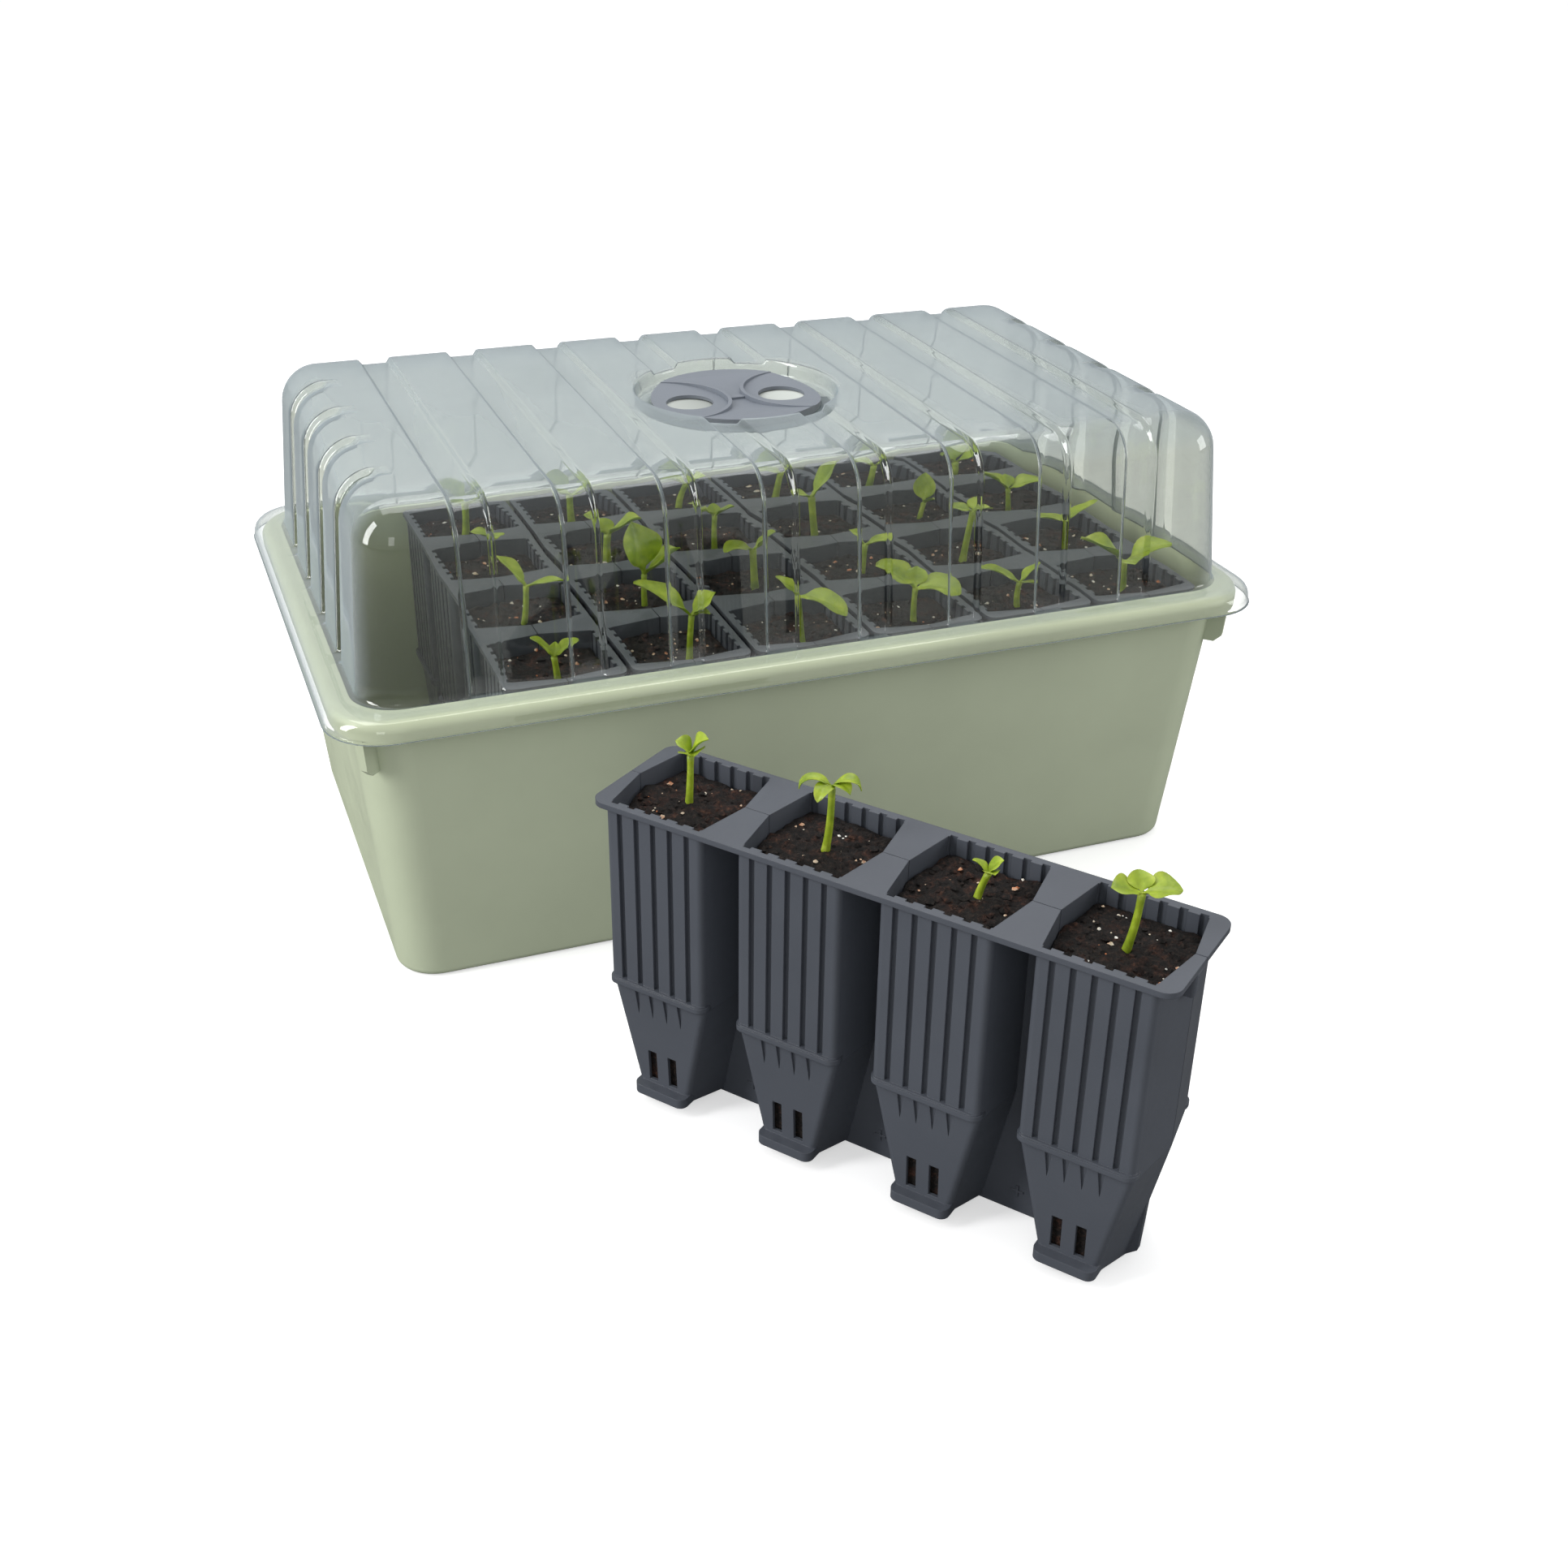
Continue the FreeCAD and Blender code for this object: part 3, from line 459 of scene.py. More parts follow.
def dome_material():
    """Clear moulded sheet with a veil that thickens towards grazing angles, partly milky haze and
    partly a painted reflection of the studio; a painted white under the vent disc, standing in for
    the light seen through its holes; and a clearer flange.  It is glass to the eye, while lamp and
    bounce light pass through it."""
    s = Shader("ClearDome")
    smear = s.noise(22.0, 3.0)
    place = s.add("ShaderNodeSeparateXYZ")
    s.link(s.position(), place, "Vector")
    height = place.outputs["Z"]
    middle = s.add("ShaderNodeVectorMath", operation="DISTANCE")
    middle.inputs[1].default_value = (0, 0, (DOME_TOP - RECESS_DEPTH) * MM)
    s.link(s.position(), middle, 0)
    under_vent = s.range(middle.outputs["Value"], 1.0, 0.0, *UNDER_VENT)

    glass = s.add("ShaderNodeBsdfPrincipled", IOR=SHEET_IOR)
    glass.inputs["Transmission Weight"].default_value = 1.0
    on_roof = s.range(height, 0.0, 1.0, *ROOF_HEIGHTS)
    tint = s.blend(on_roof, s.cloudy(smear, *WALL_TINTS), ROOF_TINT)
    on_wall = s.range(height, 0.0, 1.0, *WALL_HEIGHTS)
    s.link(s.blend(on_wall, FLANGE_TINT, tint), glass, "Base Color")
    s.link(s.range(smear, 0.0, 0.03), glass, "Roughness")
    s.link(s.bump(s.noise(9.0, 1.0), 0.06, 1.0 * MM), glass, "Normal")

    # The veil: milky haze plus a painted reflection of the studio, stronger towards grazing angles;
    # under the vent disc, a painted white for the light seen through its holes.
    haze_and_painted_light = s.add("ShaderNodeBsdfDiffuse")
    s.link(s.blend(under_vent, s.cloudy(smear, *HAZE_AND_SHEEN_TINTS), VENT_PAINTED_WHITE), haze_and_painted_light, "Color")
    facing = s.add("ShaderNodeLayerWeight", Blend=0.5).outputs["Facing"]
    haze_and_painted_light_share = s.ramp(facing, [(angle, (share,) * 3) for angle, share in HAZE_AND_SHEEN_SHARES])
    glass_under_haze_and_painted_light = s.add("ShaderNodeMixShader")
    s.link(s.blend(under_vent, haze_and_painted_light_share, (VENT_PAINTED_WHITE_SHARE,) * 3), glass_under_haze_and_painted_light, 0)
    s.link(glass.outputs[0], glass_under_haze_and_painted_light, 1)
    s.link(haze_and_painted_light.outputs[0], glass_under_haze_and_painted_light, 2)

    clear = s.add("ShaderNodeBsdfTransparent", Color=(*LAMPLIGHT_THROUGH, 1))
    rays = s.add("ShaderNodeLightPath")
    unseen = s.add("ShaderNodeMath", operation="MAXIMUM")
    s.link(rays.outputs["Is Shadow Ray"], unseen, 0)
    s.link(rays.outputs["Is Diffuse Ray"], unseen, 1)
    sheet = s.add("ShaderNodeMixShader")
    s.link(unseen.outputs[0], sheet, 0)
    s.link(glass_under_haze_and_painted_light.outputs[0], sheet, 1)
    s.link(clear.outputs[0], sheet, 2)
    return s.show(sheet)


def compost_material():
    """Damp dark compost: black crumbs, with redder fibrous patches between them."""
    s = Shader("Compost")
    crumbs = s.noise(620.0, 5.0, 0.7)
    surface = s.add("ShaderNodeBsdfPrincipled", Roughness=0.75)
    surface.inputs["Specular IOR Level"].default_value = 0.3
    fibrous = s.range(s.noise(190.0, 3.0), 0.0, 0.75, 0.5, 0.66)
    tint = s.blend(fibrous, s.ramp(crumbs, DARK_CRUMBS), s.ramp(crumbs, RED_FIBRE))
    s.link(tint, surface, "Base Color")
    s.link(s.bump(crumbs, 1.0, 1.6 * MM), surface, "Normal")
    return s.show(surface)


def perlite_material():
    """Chalky specks, some of them reddish bark."""
    s = Shader("Perlite")
    surface = s.add("ShaderNodeBsdfPrincipled", Roughness=0.8)
    s.link(s.ramp(s.noise(160.0, 2.0), BARK_TO_PERLITE), surface, "Base Color")
    s.link(s.bump(s.noise(1800.0, 2.0), 0.5, 0.3 * MM), surface, "Normal")
    return s.show(surface)


def seedling_material():
    """Young leaf: blotched greens, with a little light let through."""
    s = Shader("SeedlingGreen")
    surface = s.add("ShaderNodeBsdfPrincipled", Roughness=0.42)
    surface.inputs["Subsurface Weight"].default_value = 0.25
    surface.inputs["Subsurface Radius"].default_value = (0.6, 1.0, 0.25)
    surface.inputs["Subsurface Scale"].default_value = 1.5 * MM
    s.link(s.ramp(s.noise(180.0, 4.0), LEAF_GREENS), surface, "Base Color")
    s.link(s.bump(s.noise(900.0, 3.0), 0.4, 0.25 * MM), surface, "Normal")
    return s.show(surface)


# ---- the dome --------------------------------------------------------------------------------
def groove_depth_at(offset, half_width):
    """Share of the groove's depth at a distance from its centre line."""
    return smooth_step((half_width - abs(offset)) / GROOVE_FLANK)


def cross_groove_centres():
    return [(i - (GROOVE_COUNT - 1) / 2) * GROOVE_PITCH for i in range(GROOVE_COUNT)]


def cross_groove_share(x):
    """Depth share of the grooves that run over the roof and down the front and back."""
    return max(groove_depth_at(x - centre, GROOVE_HALF) for centre in cross_groove_centres())


def end_groove_share(y, run):
    """Depth share on an end wall, run millimetres down from the groove's closed, rounded end."""
    corner = 3.0
    inside = max(END_GROOVE_HALF - abs(y - centre) for centre in END_GROOVES)
    if inside < corner and run < corner:
        inside = corner - math.hypot(corner - inside, corner - run)
    else:
        inside = min(inside, run)
    return smooth_step(inside / GROOVE_FLANK)


def grid_lines(centres, half_width, limit):
    """Where the mesh lines run across a set of grooves: close together on their flanks."""
    lines = {-limit, limit, -PATCH_HALF, PATCH_HALF}
    for centre in centres:
        lines.add(centre)
        for side in (-1, 1):
            for i in range(FLANK_STEPS):
                step = half_width + 0.25 - i * (GROOVE_FLANK + 0.5) / (FLANK_STEPS - 1)
                lines.add(centre + side * step)
    lines = sorted(lines)
    filled = []
    widest = 6.5
    for a, b in zip(lines, lines[1:]):
        pieces = max(1, math.ceil((b - a) / widest))
        filled += [between(a, b, i / pieces) for i in range(pieces)]
    return filled + [lines[-1]]


class DomeMesh:
    """The dome's outer skin: a roof grid with a round recess, and rows that run down the walls
    and out over the flange to the lip."""

    def __init__(self):
        slope = DOME_TAPER / (DOME_TOP - DOME_SEAT)
        self.wall_at = lambda z: DOME_BASE_HALF - slope * (z - DOME_SEAT)
        self.lean = math.atan(slope)
        self.round_z = DOME_TOP - DOME_ROUND
        self.half_x = self.wall_at(self.round_z) - DOME_ROUND * math.hypot(1, slope)
        self.half_y = self.half_x - DOME_LENGTH_OVER_WIDTH
        self.xs = grid_lines(cross_groove_centres(), GROOVE_HALF, self.half_x)
        self.ys = grid_lines(END_GROOVES, END_GROOVE_HALF, self.half_y)
        self.vertices = []
        self.faces = []
        self.roof = {}                 # vertex number of each roof grid point (i, j)

    def point(self, x, y, z):
        self.vertices.append((x, y, z))
        return len(self.vertices) - 1

    def roof_z(self, x):
        return DOME_TOP - GROOVE_DEPTH * cross_groove_share(x)

    def add_roof(self):
        """The roof's grid, left open where the square patch round the recess goes."""
        for i, x in enumerate(self.xs):
            for j, y in enumerate(self.ys):
                if abs(x) < PATCH_HALF and abs(y) < PATCH_HALF:
                    continue
                self.roof[i, j] = self.point(x, y, self.roof_z(x))
        for i in range(len(self.xs) - 1):
            for j in range(len(self.ys) - 1):
                corners = [(i, j), (i + 1, j), (i + 1, j + 1), (i, j + 1)]
                mid_x = (self.xs[i] + self.xs[i + 1]) / 2
                mid_y = (self.ys[j] + self.ys[j + 1]) / 2
                if abs(mid_x) > PATCH_HALF or abs(mid_y) > PATCH_HALF:
                    self.faces.append([self.roof[c] for c in corners])

    def patch_loop(self):
        """The roof's grid points round the square patch, anticlockwise from its front left."""
        in_x = [i for i, x in enumerate(self.xs) if abs(x) <= PATCH_HALF]
        in_y = [j for j, y in enumerate(self.ys) if abs(y) <= PATCH_HALF]
        loop = [(i, in_y[0]) for i in in_x]
        loop += [(in_x[-1], j) for j in in_y[1:]]
        loop += [(i, in_y[-1]) for i in reversed(in_x[:-1])]
        loop += [(in_x[0], j) for j in reversed(in_y[1:-1])]
        return loop

    def add_recess(self):
        """Rings from the square patch in to the recess's edge, down its wall and onto its floor."""
        kept_x = 27.0                  # grid lines nearer the middle than this stay straight
        edge = RECESS_RADIUS + 1       # where the roof starts to round down into the recess
        loop = self.patch_loop()
        square = [(self.xs[i], self.ys[j]) for i, j in loop]
        circle = []
        diagonal = math.sqrt(0.5)
        for x, y in square:
            if abs(y) == PATCH_HALF:
                reach = edge * diagonal
                share = max(0.0, (abs(x) - kept_x) / (PATCH_HALF - kept_x))
                across = math.copysign(between(min(abs(x), kept_x), reach, share), x)
                angle = math.acos(across / edge)
                circle.append(math.copysign(angle, y))
            else:
                across = y / PATCH_HALF * diagonal
                angle = math.asin(across)
                circle.append(angle if x > 0 else math.pi - angle)
        rings = [[self.roof[c] for c in loop]]
        for share in (0.35, 0.7):
            ring = []
            for (x, y), angle in zip(square, circle):
                px = between(x, edge * math.cos(angle), share)
                py = between(y, edge * math.sin(angle), share)
                ring.append(self.point(px, py, self.roof_z(px)))
            rings.append(ring)
        floor_z = DOME_TOP - RECESS_DEPTH
        # Each row: radius beyond the recess's wall, and the share of the way down to the floor.
        profile = [(1.0, 0.0), (0.7, 0.015), (0.35, 0.06), (0.1, 0.14), (0.0, 0.25), (-0.1, 0.6),
                   (-0.2, 0.86), (-0.45, 0.95), (-1.0, 1.0)]
        for beyond, down in profile:
            ring = []
            for angle in circle:
                px = (RECESS_RADIUS + beyond) * math.cos(angle)
                py = (RECESS_RADIUS + beyond) * math.sin(angle)
                ring.append(self.point(px, py, between(self.roof_z(px), floor_z, down)))
            rings.append(ring)
        for outer, inner in zip(rings, rings[1:]):
            for i in range(len(outer)):
                k = (i + 1) % len(outer)
                self.faces.append([outer[i], outer[k], inner[k], inner[i]])
        self.floor_ring = rings[-1]
        self.floor_z = floor_z

    def profile_rows(self):
        """Rows down the wall: reach beyond the roof's flat, height, corner radius, the wall's
        outward and upward normal, the share of the grooves' depth, and the run down the row."""
        rows = []
        steps = 16
        for i in range(1, steps + 1):
            angle = between(math.pi / 2, self.lean, i / steps)
            reach = DOME_ROUND * math.cos(angle)
            run = DOME_ROUND * (math.pi / 2 - angle)
            rows.append((reach, self.round_z + DOME_ROUND * math.sin(angle), reach,
                         math.cos(angle), math.sin(angle), 1.0, run))
        round_corner = rows[-1][2]
        start_z = rows[-1][1]
        start_run = rows[-1][6]
        fillet = 1.2
        foot_z = DOME_FLANGE_TOP + fillet
        steps = 8
        for i in range(1, steps + 1):
            z = between(start_z, foot_z, i / steps)
            corner = between(round_corner, FOOT_CORNER, i / steps)
            reach = self.wall_at(z) - self.half_x
            rows.append((reach, z, corner, 1.0, 0.0, 1.0, start_run + start_z - z))
        foot = self.wall_at(foot_z) - self.half_x
        far_down = 1000.0              # a run well past the end grooves' closed ends
        level = (0, 1, 0, far_down)
        rows.append((foot + 0.35, foot_z - 0.85, FOOT_CORNER + 0.2, 1.0, 0.0, 0.75, far_down))
        rows.append((foot + fillet, DOME_FLANGE_TOP, FOOT_CORNER + 0.8, 1.0, 0.0, 0.0, far_down))
        lip_reach = LIP_HALF - self.half_x
        flange_middle = between(foot + fillet, lip_reach - LIP_ROUND, 0.5)
        rows.append((flange_middle, DOME_FLANGE_TOP, FOOT_CORNER + 1.0, *level))
        steps = 6
        for i in range(steps + 1):
            angle = math.pi / 2 * (1 - i / steps)
            inset = LIP_ROUND * (1 - math.cos(angle))
            z = DOME_FLANGE_TOP - LIP_ROUND * (1 - math.sin(angle))
            rows.append((lip_reach - inset, z, LIP_CORNER - inset, *level))
        lip_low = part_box("dome")[0].z / MM
        flare_z = between(DOME_FLANGE_TOP - LIP_ROUND, lip_low, 0.55)
        rows.append((lip_reach + 0.1, flare_z, LIP_CORNER + 0.1, *level))
        rows.append((lip_reach + 0.75, lip_low, LIP_CORNER + 0.8, *level))
        return rows

    def side_point(self, side, value, row):
        """A point of a wall row: side is front, right, back or left, value the place along it."""
        reach, z, corner, out, up, share, run = row
        along_x = side in ("front", "back")
        half_along = self.half_x if along_x else self.half_y
        lines = self.xs if along_x else self.ys
        last_groove = max(cross_groove_centres()) if along_x else END_GROOVES[-1]
        # Lines out to the last groove's outer flank stay where the roof has them.
        kept = [line for line in lines if line > last_groove][FLANK_STEPS - 1]
        place = abs(value)
        if place > kept:
            stretch = (half_along + reach - corner - kept) / (half_along - kept)
            place = kept + (place - kept) * stretch
        place = math.copysign(place, value)
        if along_x:
            depth = cross_groove_share(value)
            away = self.half_y + reach
        else:
            depth = end_groove_share(value, run)
            away = self.half_x + reach
        away -= GROOVE_DEPTH * depth * share * out
        z -= GROOVE_DEPTH * depth * share * up
        sign = -1 if side in ("front", "left") else 1
        return (place, sign * away, z) if along_x else (sign * away, place, z)

    def add_walls(self):
        """Columns round the roof's outline, fanned at its corners, joined down every row."""
        last_x, last_y = len(self.xs) - 1, len(self.ys) - 1
        columns = []
        sides = [("front", self.xs, lambda i: (i, 0), -math.pi / 2, (1, -1)),
                 ("right", self.ys, lambda j: (last_x, j), 0.0, (1, 1)),
                 ("back", self.xs, lambda i: (last_x - i, last_y), math.pi / 2, (-1, 1)),
                 ("left", self.ys, lambda j: (0, last_y - j), math.pi, (-1, -1))]
        arc_steps = 10
        for side, lines, key, start, corner_sign in sides:
            values = lines if side in ("front", "right") else lines[::-1]
            columns += [(self.roof[key(i)], side, value) for i, value in enumerate(values)]
            corner_key = key(len(lines) - 1)
            for i in range(1, arc_steps):
                angle = start + math.pi / 2 * i / arc_steps
                columns.append((self.roof[corner_key], "corner", (corner_sign, angle)))
        rows = self.profile_rows()
        previous = [c[0] for c in columns]
        for row in rows:
            current = []
            for _, side, value in columns:
                if side == "corner":
                    (sx, sy), angle = value
                    reach, z, corner = row[:3]
                    x = sx * (self.half_x + reach - corner) + corner * math.cos(angle)
                    y = sy * (self.half_y + reach - corner) + corner * math.sin(angle)
                    current.append(self.point(x, y, z))
                else:
                    current.append(self.point(*self.side_point(side, value, row)))
            for i in range(len(columns)):
                k = (i + 1) % len(columns)
                face = [previous[k], previous[i], current[i], current[k]]
                self.faces.append(list(dict.fromkeys(face)))
            previous = current

    def add_floor(self, piece):
        """Closes the recess's floor, leaving its two vent holes and the stud's hole."""
        sheet = bmesh.new()
        sheet.from_mesh(piece.data)
        sheet.verts.ensure_lookup_table()
        edges = []
        ring = [sheet.verts[i] for i in self.floor_ring]
        for a, b in zip(ring, ring[1:] + ring[:1]):
            edges.append(sheet.edges.get((a, b)))
        holes = [(0, side * DOME_HOLE_OFFSET, DOME_HOLE_RADIUS, 48) for side in (-1, 1)]
        holes.append((0, 0, STUD_HOLE_RADIUS, 24))
        for x, y, radius, count in holes:
            hole = []
            for i in range(count):
                angle = 2 * math.pi * i / count
                place = (x + radius * math.cos(angle), y + radius * math.sin(angle), self.floor_z)
                hole.append(sheet.verts.new(Vector(place) * MM))
            for a, b in zip(hole, hole[1:] + hole[:1]):
                edges.append(sheet.edges.new((a, b)))
        bmesh.ops.triangle_fill(sheet, use_beauty=True, edges=edges)
        bmesh.ops.recalc_face_normals(sheet, faces=sheet.faces[:])
        sheet.faces.ensure_lookup_table()
        if sheet.faces[0].normal.z < 0:
            bmesh.ops.reverse_faces(sheet, faces=sheet.faces[:])
        sheet.to_mesh(piece.data)
        sheet.free()


def make_dome():
    """The clear cover, which stands for the CAD's dome."""
    smooth_degrees = 60.0
    never_sharp = 180.0
    shell = DomeMesh()
    shell.add_roof()
    shell.add_recess()
    shell.add_walls()
    dome = piece_from("DomeShell", shell.vertices, shell.faces, never_sharp)
    shell.add_floor(dome)
    dome.data.shade_smooth()
    dome.data.set_sharp_from_angle(angle=math.radians(smooth_degrees))
    thickness = dome.modifiers.new("Sheet", "SOLIDIFY")
    thickness.thickness = DOME_WALL * MM
    thickness.offset = -1.0
    dome.data.materials.append(dome_material())
    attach(dome, "dome")
    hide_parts("dome")


# ---- compost and seedlings -------------------------------------------------------------------
class MeshBuilder:
    """Vertices and faces, in millimetres, of a piece made from rings of points."""

    def __init__(self):
        self.vertices = []
        self.faces = []

    def ring(self, points):
        """Adds points and gives their numbers."""
        start = len(self.vertices)
        self.vertices += [tuple(p) for p in points]
        return list(range(start, len(self.vertices)))

    def bridge(self, a, b):
        """Faces between two rings of as many points."""
        for i in range(len(a)):
            k = (i + 1) % len(a)
            self.faces.append([a[i], a[k], b[k], b[i]])

    def cap(self, ring, centre):
        """A fan of faces from a ring to its centre."""
        tip = self.ring([centre])[0]
        for i in range(len(ring)):
            self.faces.append([ring[i], ring[(i + 1) % len(ring)], tip])

    def lump(self, centre, radius, flat, rng):
        """A crumb: a flat double pyramid on a six-sided waist, its corners moved at random."""
        def corner(x, y, z):
            jitter = rng.uniform(0.65, 1.2) * radius
            return Vector((x * jitter, y * jitter, z * jitter * flat)) + centre

        sides = 6
        turn = rng.uniform(0, math.tau)
        waist = []
        for i in range(sides):
            angle = turn + math.tau * i / sides
            height = rng.uniform(-0.4, 0.4)
            waist.append(corner(math.cos(angle), math.sin(angle), height))
        waist = self.ring(waist)
        self.cap(waist, corner(0, 0, 1))
        self.cap(waist[::-1], corner(0, 0, -1))


def strip_axes(name):
    """A strip's foot, its direction from the first cell to the last, and the one across it."""
    x, y, z, angle = STRIPS[name]
    turn = math.radians(angle)
    along = Vector((math.cos(turn), math.sin(turn), 0))
    across = Vector((math.sin(turn), -math.cos(turn), 0))
    return Vector((x, y, z)), along, across


def plug_outline(mid, front, depth):
    """The six-sided outline of a cell, with its sides split into short steps."""
    corners = [(-mid, 0), (-front, -depth), (front, -depth),
               (mid, 0), (front, depth), (-front, depth)]
    points = []
    steps = 10
    for (x0, y0), (x1, y1) in zip(corners, corners[1:] + corners[:1]):
        for i in range(steps):
            points.append((between(x0, x1, i / steps), between(y0, y1, i / steps)))
    return points


def soil_height(place):
    """Lumpy compost, measured from its level line."""
    coarse = noise.noise(place * 0.09) * 1.5
    fine = noise.noise(place * 0.42 + Vector((7, 3, 1))) * 1.1
    crumbs = noise.noise(place * 1.1) * 0.6
    return coarse + fine + crumbs


def add_plug(builder, name, cell, rng):
    """One cell's closed plug: lumpy top, sides down to the taper, a sloping foot, and crumbs."""
    base, along, across = strip_axes(name)

    def world(x, y, z):
        return base + along * (cell + x) + across * y + Vector((0, 0, z))

    outline = plug_outline(CELL_MID, CELL_FRONT, CELL_DEPTH)
    rows = 11
    edge_drop = 0.6
    previous = None
    for row in range(rows, 0, -1):
        share = row / rows
        ring = []
        for x, y in outline:
            place = world(x * share, y * share, SOIL_TOP)
            lift = soil_height(place) - (edge_drop if row == rows else 0.0)
            ring.append(place + Vector((0, 0, lift)))
        ring = builder.ring(ring)
        if previous:
            builder.bridge(previous, ring)
        else:
            top_edge = ring
        previous = ring
    centre = world(0, 0, SOIL_TOP)
    builder.cap(previous, centre + Vector((0, 0, soil_height(centre))))
    shoulder = builder.ring([world(x, y, TAPER_Z) for x, y in outline])
    foot = []
    for x, y in plug_outline(FOOT_MID, FOOT_FRONT, FOOT_DEPTH):
        foot.append(world(x, y, between(FOOT_LOW, FOOT_HIGH, abs(y) / FOOT_DEPTH)))
    foot = builder.ring(foot)
    builder.bridge(shoulder, top_edge)
    builder.bridge(foot, shoulder)
    builder.cap(foot[::-1], world(0, 0, FOOT_LOW))
    for _ in range(SOIL_LUMPS):
        x, y = scattered(rng)
        place = world(x, y, SOIL_TOP)
        place.z += soil_height(place)
        builder.lump(place, rng.choice(SOIL_LUMP_RADII), SOIL_LUMP_FLATNESS, rng)


def scattered(rng):
    """A random place inside a cell's outline."""
    while True:
        x = rng.uniform(-CELL_MID, CELL_MID)
        y = rng.uniform(-CELL_DEPTH, CELL_DEPTH)
        limit = between(CELL_MID, CELL_FRONT, abs(y) / CELL_DEPTH)
        if abs(x) < limit - SCATTER_MARGIN and abs(y) < CELL_DEPTH - SCATTER_MARGIN:
            return x, y


def add_specks(builder, name, cell, rng):
    """Perlite and bark, scattered on one cell's compost."""
    base, along, across = strip_axes(name)
    for _ in range(SPECKS):
        x, y = scattered(rng)
        place = base + along * (cell + x) + across * y + Vector((0, 0, SOIL_TOP))
        place.z += soil_height(place) + SPECK_LIFT
        builder.lump(place, rng.choice(SPECK_RADII), SPECK_FLATNESS, rng)


def add_stem(builder, foot, top, radius, rng):
    """A closed stem that sways a little, thicker where it meets the compost and the leaves."""
    sway = Vector((rng.uniform(-1, 1), rng.uniform(-1, 1), 0)) * 0.6
    rings = 9
    sides = 10
    previous = None
    for i in range(rings + 1):
        t = i / rings
        centre = foot.lerp(top, t) + sway * math.sin(math.pi * t)
        swell = 1 + 0.25 * math.exp(-(t / 0.12) ** 2) + 0.22 * math.exp(-((t - 0.97) / 0.08) ** 2)
        girth = radius * between(1.1, 0.85, t) * swell
        spokes = [(math.cos(math.tau * k / sides), math.sin(math.tau * k / sides), 0)
                  for k in range(sides)]
        ring = builder.ring([centre + girth * Vector(spoke) for spoke in spokes])
        if previous:
            builder.bridge(previous, ring)
        else:
            builder.cap(ring[::-1], centre)
        previous = ring
    builder.cap(previous, top + Vector((0, 0, radius * 0.6)))


def add_leaf(builder, root, heading, rise, length, width, droop, rng):
    """A closed leaf: a short stalk that widens to a cupped blade with a folded midrib, its tip
    bent over by droop degrees."""
    heading = math.radians(heading + rng.uniform(-6, 6))
    forward = Vector((math.cos(heading), math.sin(heading), 0))
    side = Vector((-math.sin(heading), math.cos(heading), 0))
    rows = 13
    stalk = 0.14                       # share of the length
    narrowest = 0.12
    spokes = [-1.0, -0.8, -0.5, -0.22, 0.0, 0.22, 0.5, 0.8, 1.0]
    wave = rng.uniform(0, math.tau)
    twist = rng.uniform(-0.25, 0.25)
    centre = root.copy()
    tilt = math.radians(rise) + math.radians(droop) * 0.35
    step = length / rows
    upper_rows = []
    lower_rows = []
    for i in range(rows + 1):
        t = i / rows
        blade = max(0.0, (t - stalk) / (1 - stalk))
        half = width / 2 * math.sin(math.pi * min(0.995, blade) ** 0.82) ** 0.75 if blade else 0.0
        half = max(half, 0.55 * (1 - blade), narrowest)
        lean = tilt - math.radians(droop) * t ** 1.3
        normal = -math.sin(lean) * forward + Vector((0, 0, math.cos(lean)))
        across = side * math.cos(twist * t) + normal * math.sin(twist * t)
        upper, lower = [], []
        for v in spokes:
            cup = half * (0.22 * v * v - 0.12 * math.exp(-(v / 0.2) ** 2))
            ripple = 0.05 * width * abs(v) ** 3 * math.sin(wave + 9 * t + (2 if v > 0 else 0))
            place = centre + across * half * v + normal * (cup + ripple)
            thick = between(0.45, 0.16, min(1.0, blade * 3)) * math.sqrt(max(0.0, 1 - v * v))
            upper.append(place + normal * thick)
            lower.append(place - normal * thick)
        upper_rows.append(builder.ring(upper))
        lower_rows.append(builder.ring(lower[1:-1]))
        centre = centre + (math.cos(lean) * forward + Vector((0, 0, math.sin(lean)))) * step
    last = len(spokes) - 1
    for i in range(rows):
        a, b = upper_rows[i], upper_rows[i + 1]
        c = [a[0]] + lower_rows[i] + [a[last]]
        d = [b[0]] + lower_rows[i + 1] + [b[last]]
        for k in range(last):
            builder.faces.append([a[k], b[k], b[k + 1], a[k + 1]][::-1])
            builder.faces.append([c[k], d[k], d[k + 1], c[k + 1]])
    for row, flip in ((0, 1), (rows, -1)):
        outline = upper_rows[row] + lower_rows[row][::-1]
        builder.faces.append(outline[::flip])


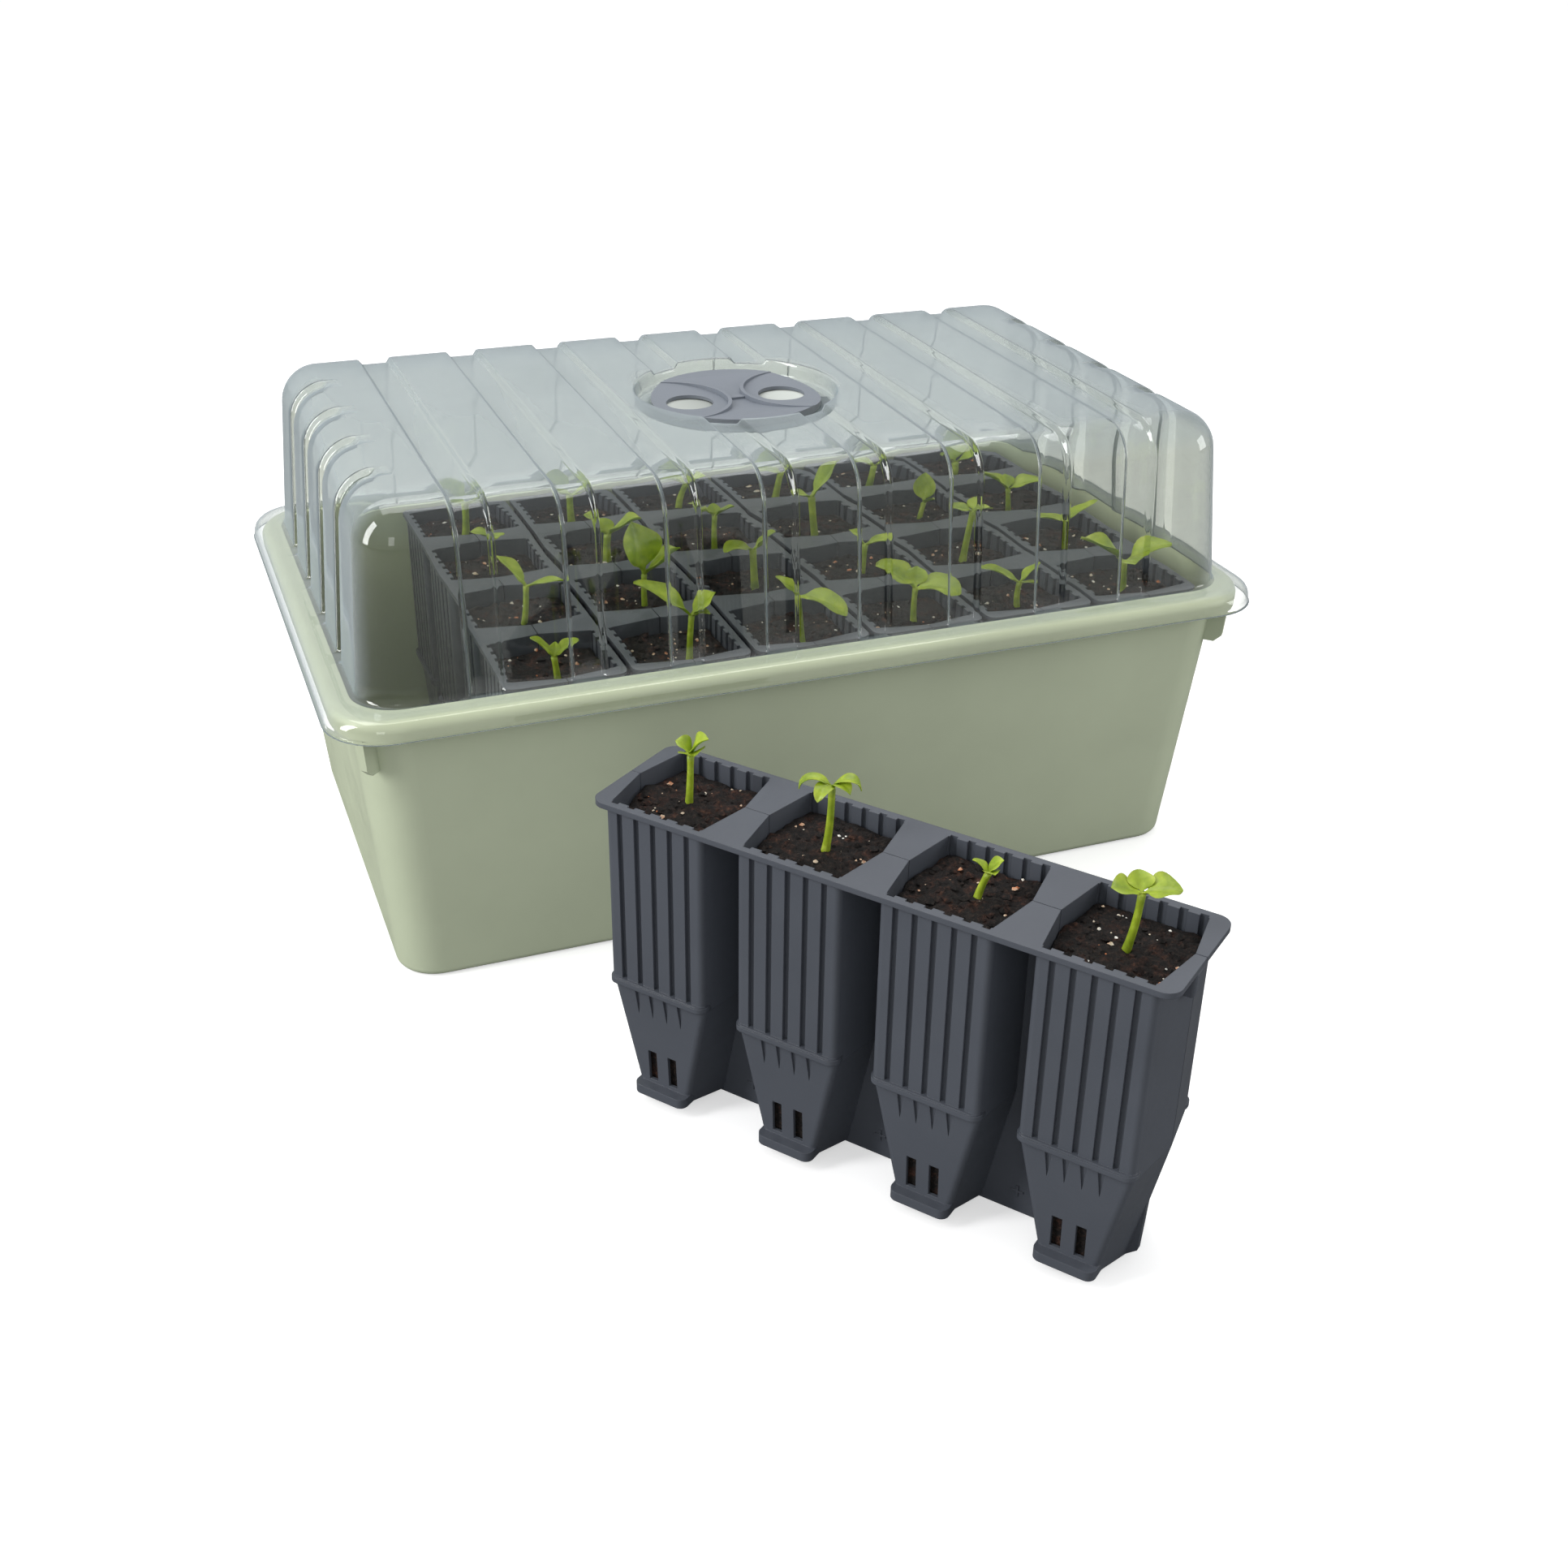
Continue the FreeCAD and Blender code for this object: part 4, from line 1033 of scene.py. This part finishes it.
def make_plants(name):
    """A strip's four seedlings as one piece, from the table at the top."""
    base, along, across = strip_axes(name)
    builder = MeshBuilder()
    rng = random.Random(f"plants of {name}")
    for cell, (foot, lean, height, leaves) in zip(CELL_CENTRES, SEEDLINGS[name]):
        low = base + along * (cell + foot[0]) + across * foot[1]
        low.z += SOIL_TOP - STEM_ROOT
        top = low + along * lean[0] + across * lean[1] + Vector((0, 0, height + STEM_ROOT))
        add_stem(builder, low, top, STEM_RADIUS, rng)
        for heading, rise, length, width, droop in leaves:
            add_leaf(builder, top, heading, rise, length, width * LEAF_FULLNESS, droop, rng)
    return piece_from(f"{name}_plants", builder.vertices, builder.faces, 70.0)


def fill_strip(name, materials):
    """A strip's compost, specks and seedlings, for the CAD's compost and seedling nodes."""
    compost, perlite, green = materials
    rng = random.Random(f"compost of {name}")
    soil, specks = MeshBuilder(), MeshBuilder()
    for cell in CELL_CENTRES:
        add_plug(soil, name, cell, rng)
        add_specks(specks, name, cell, rng)
    soil = piece_from(f"{name}_soil", soil.vertices, soil.faces, 50.0)
    specks = piece_from(f"{name}_perlite", specks.vertices, specks.faces, 30.0)
    plants = make_plants(name)
    for piece, material, slot, node in ((soil, compost, "compost", "compost"),
                                        (specks, perlite, "compost", None),
                                        (plants, green, "seedling", "seedlings")):
        piece.data.materials.append(material)
        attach(piece, name)
        if node:
            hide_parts(f"{name}_{node}")


# ---- whole scene -----------------------------------------------------------------------------
def paint(node, material):
    """Gives a CAD node that stays visible its material."""
    mesh = frame["nodes"][node].data
    mesh.materials.clear()
    mesh.materials.append(material)


def paint_cad_nodes():
    """The tray, the vent disc and the strips' halves keep their CAD meshes."""
    tray = plastic_material("SagePlastic", SAGE, 0.38, 2600.0, 0.05)
    slate = plastic_material("SlatePlastic", SLATE, 0.40, 1500.0, 0.08, mottle=0.08, edge=0.35)
    vent = plastic_material("VentPlastic", VENT_GREY, 0.45, 1500.0, 0.06)
    for node in frame["nodes"]:
        if node == "tray":
            paint(node, tray)
        elif node == "vent_disc":
            paint(node, vent)
        elif node.endswith("_half"):
            paint(node, slate)


add_camera()
add_studio()
add_floor()
make_dome()
fillings = (compost_material(), perlite_material(), seedling_material())
for strip in STRIPS:
    fill_strip(strip, fillings)
paint_cad_nodes()
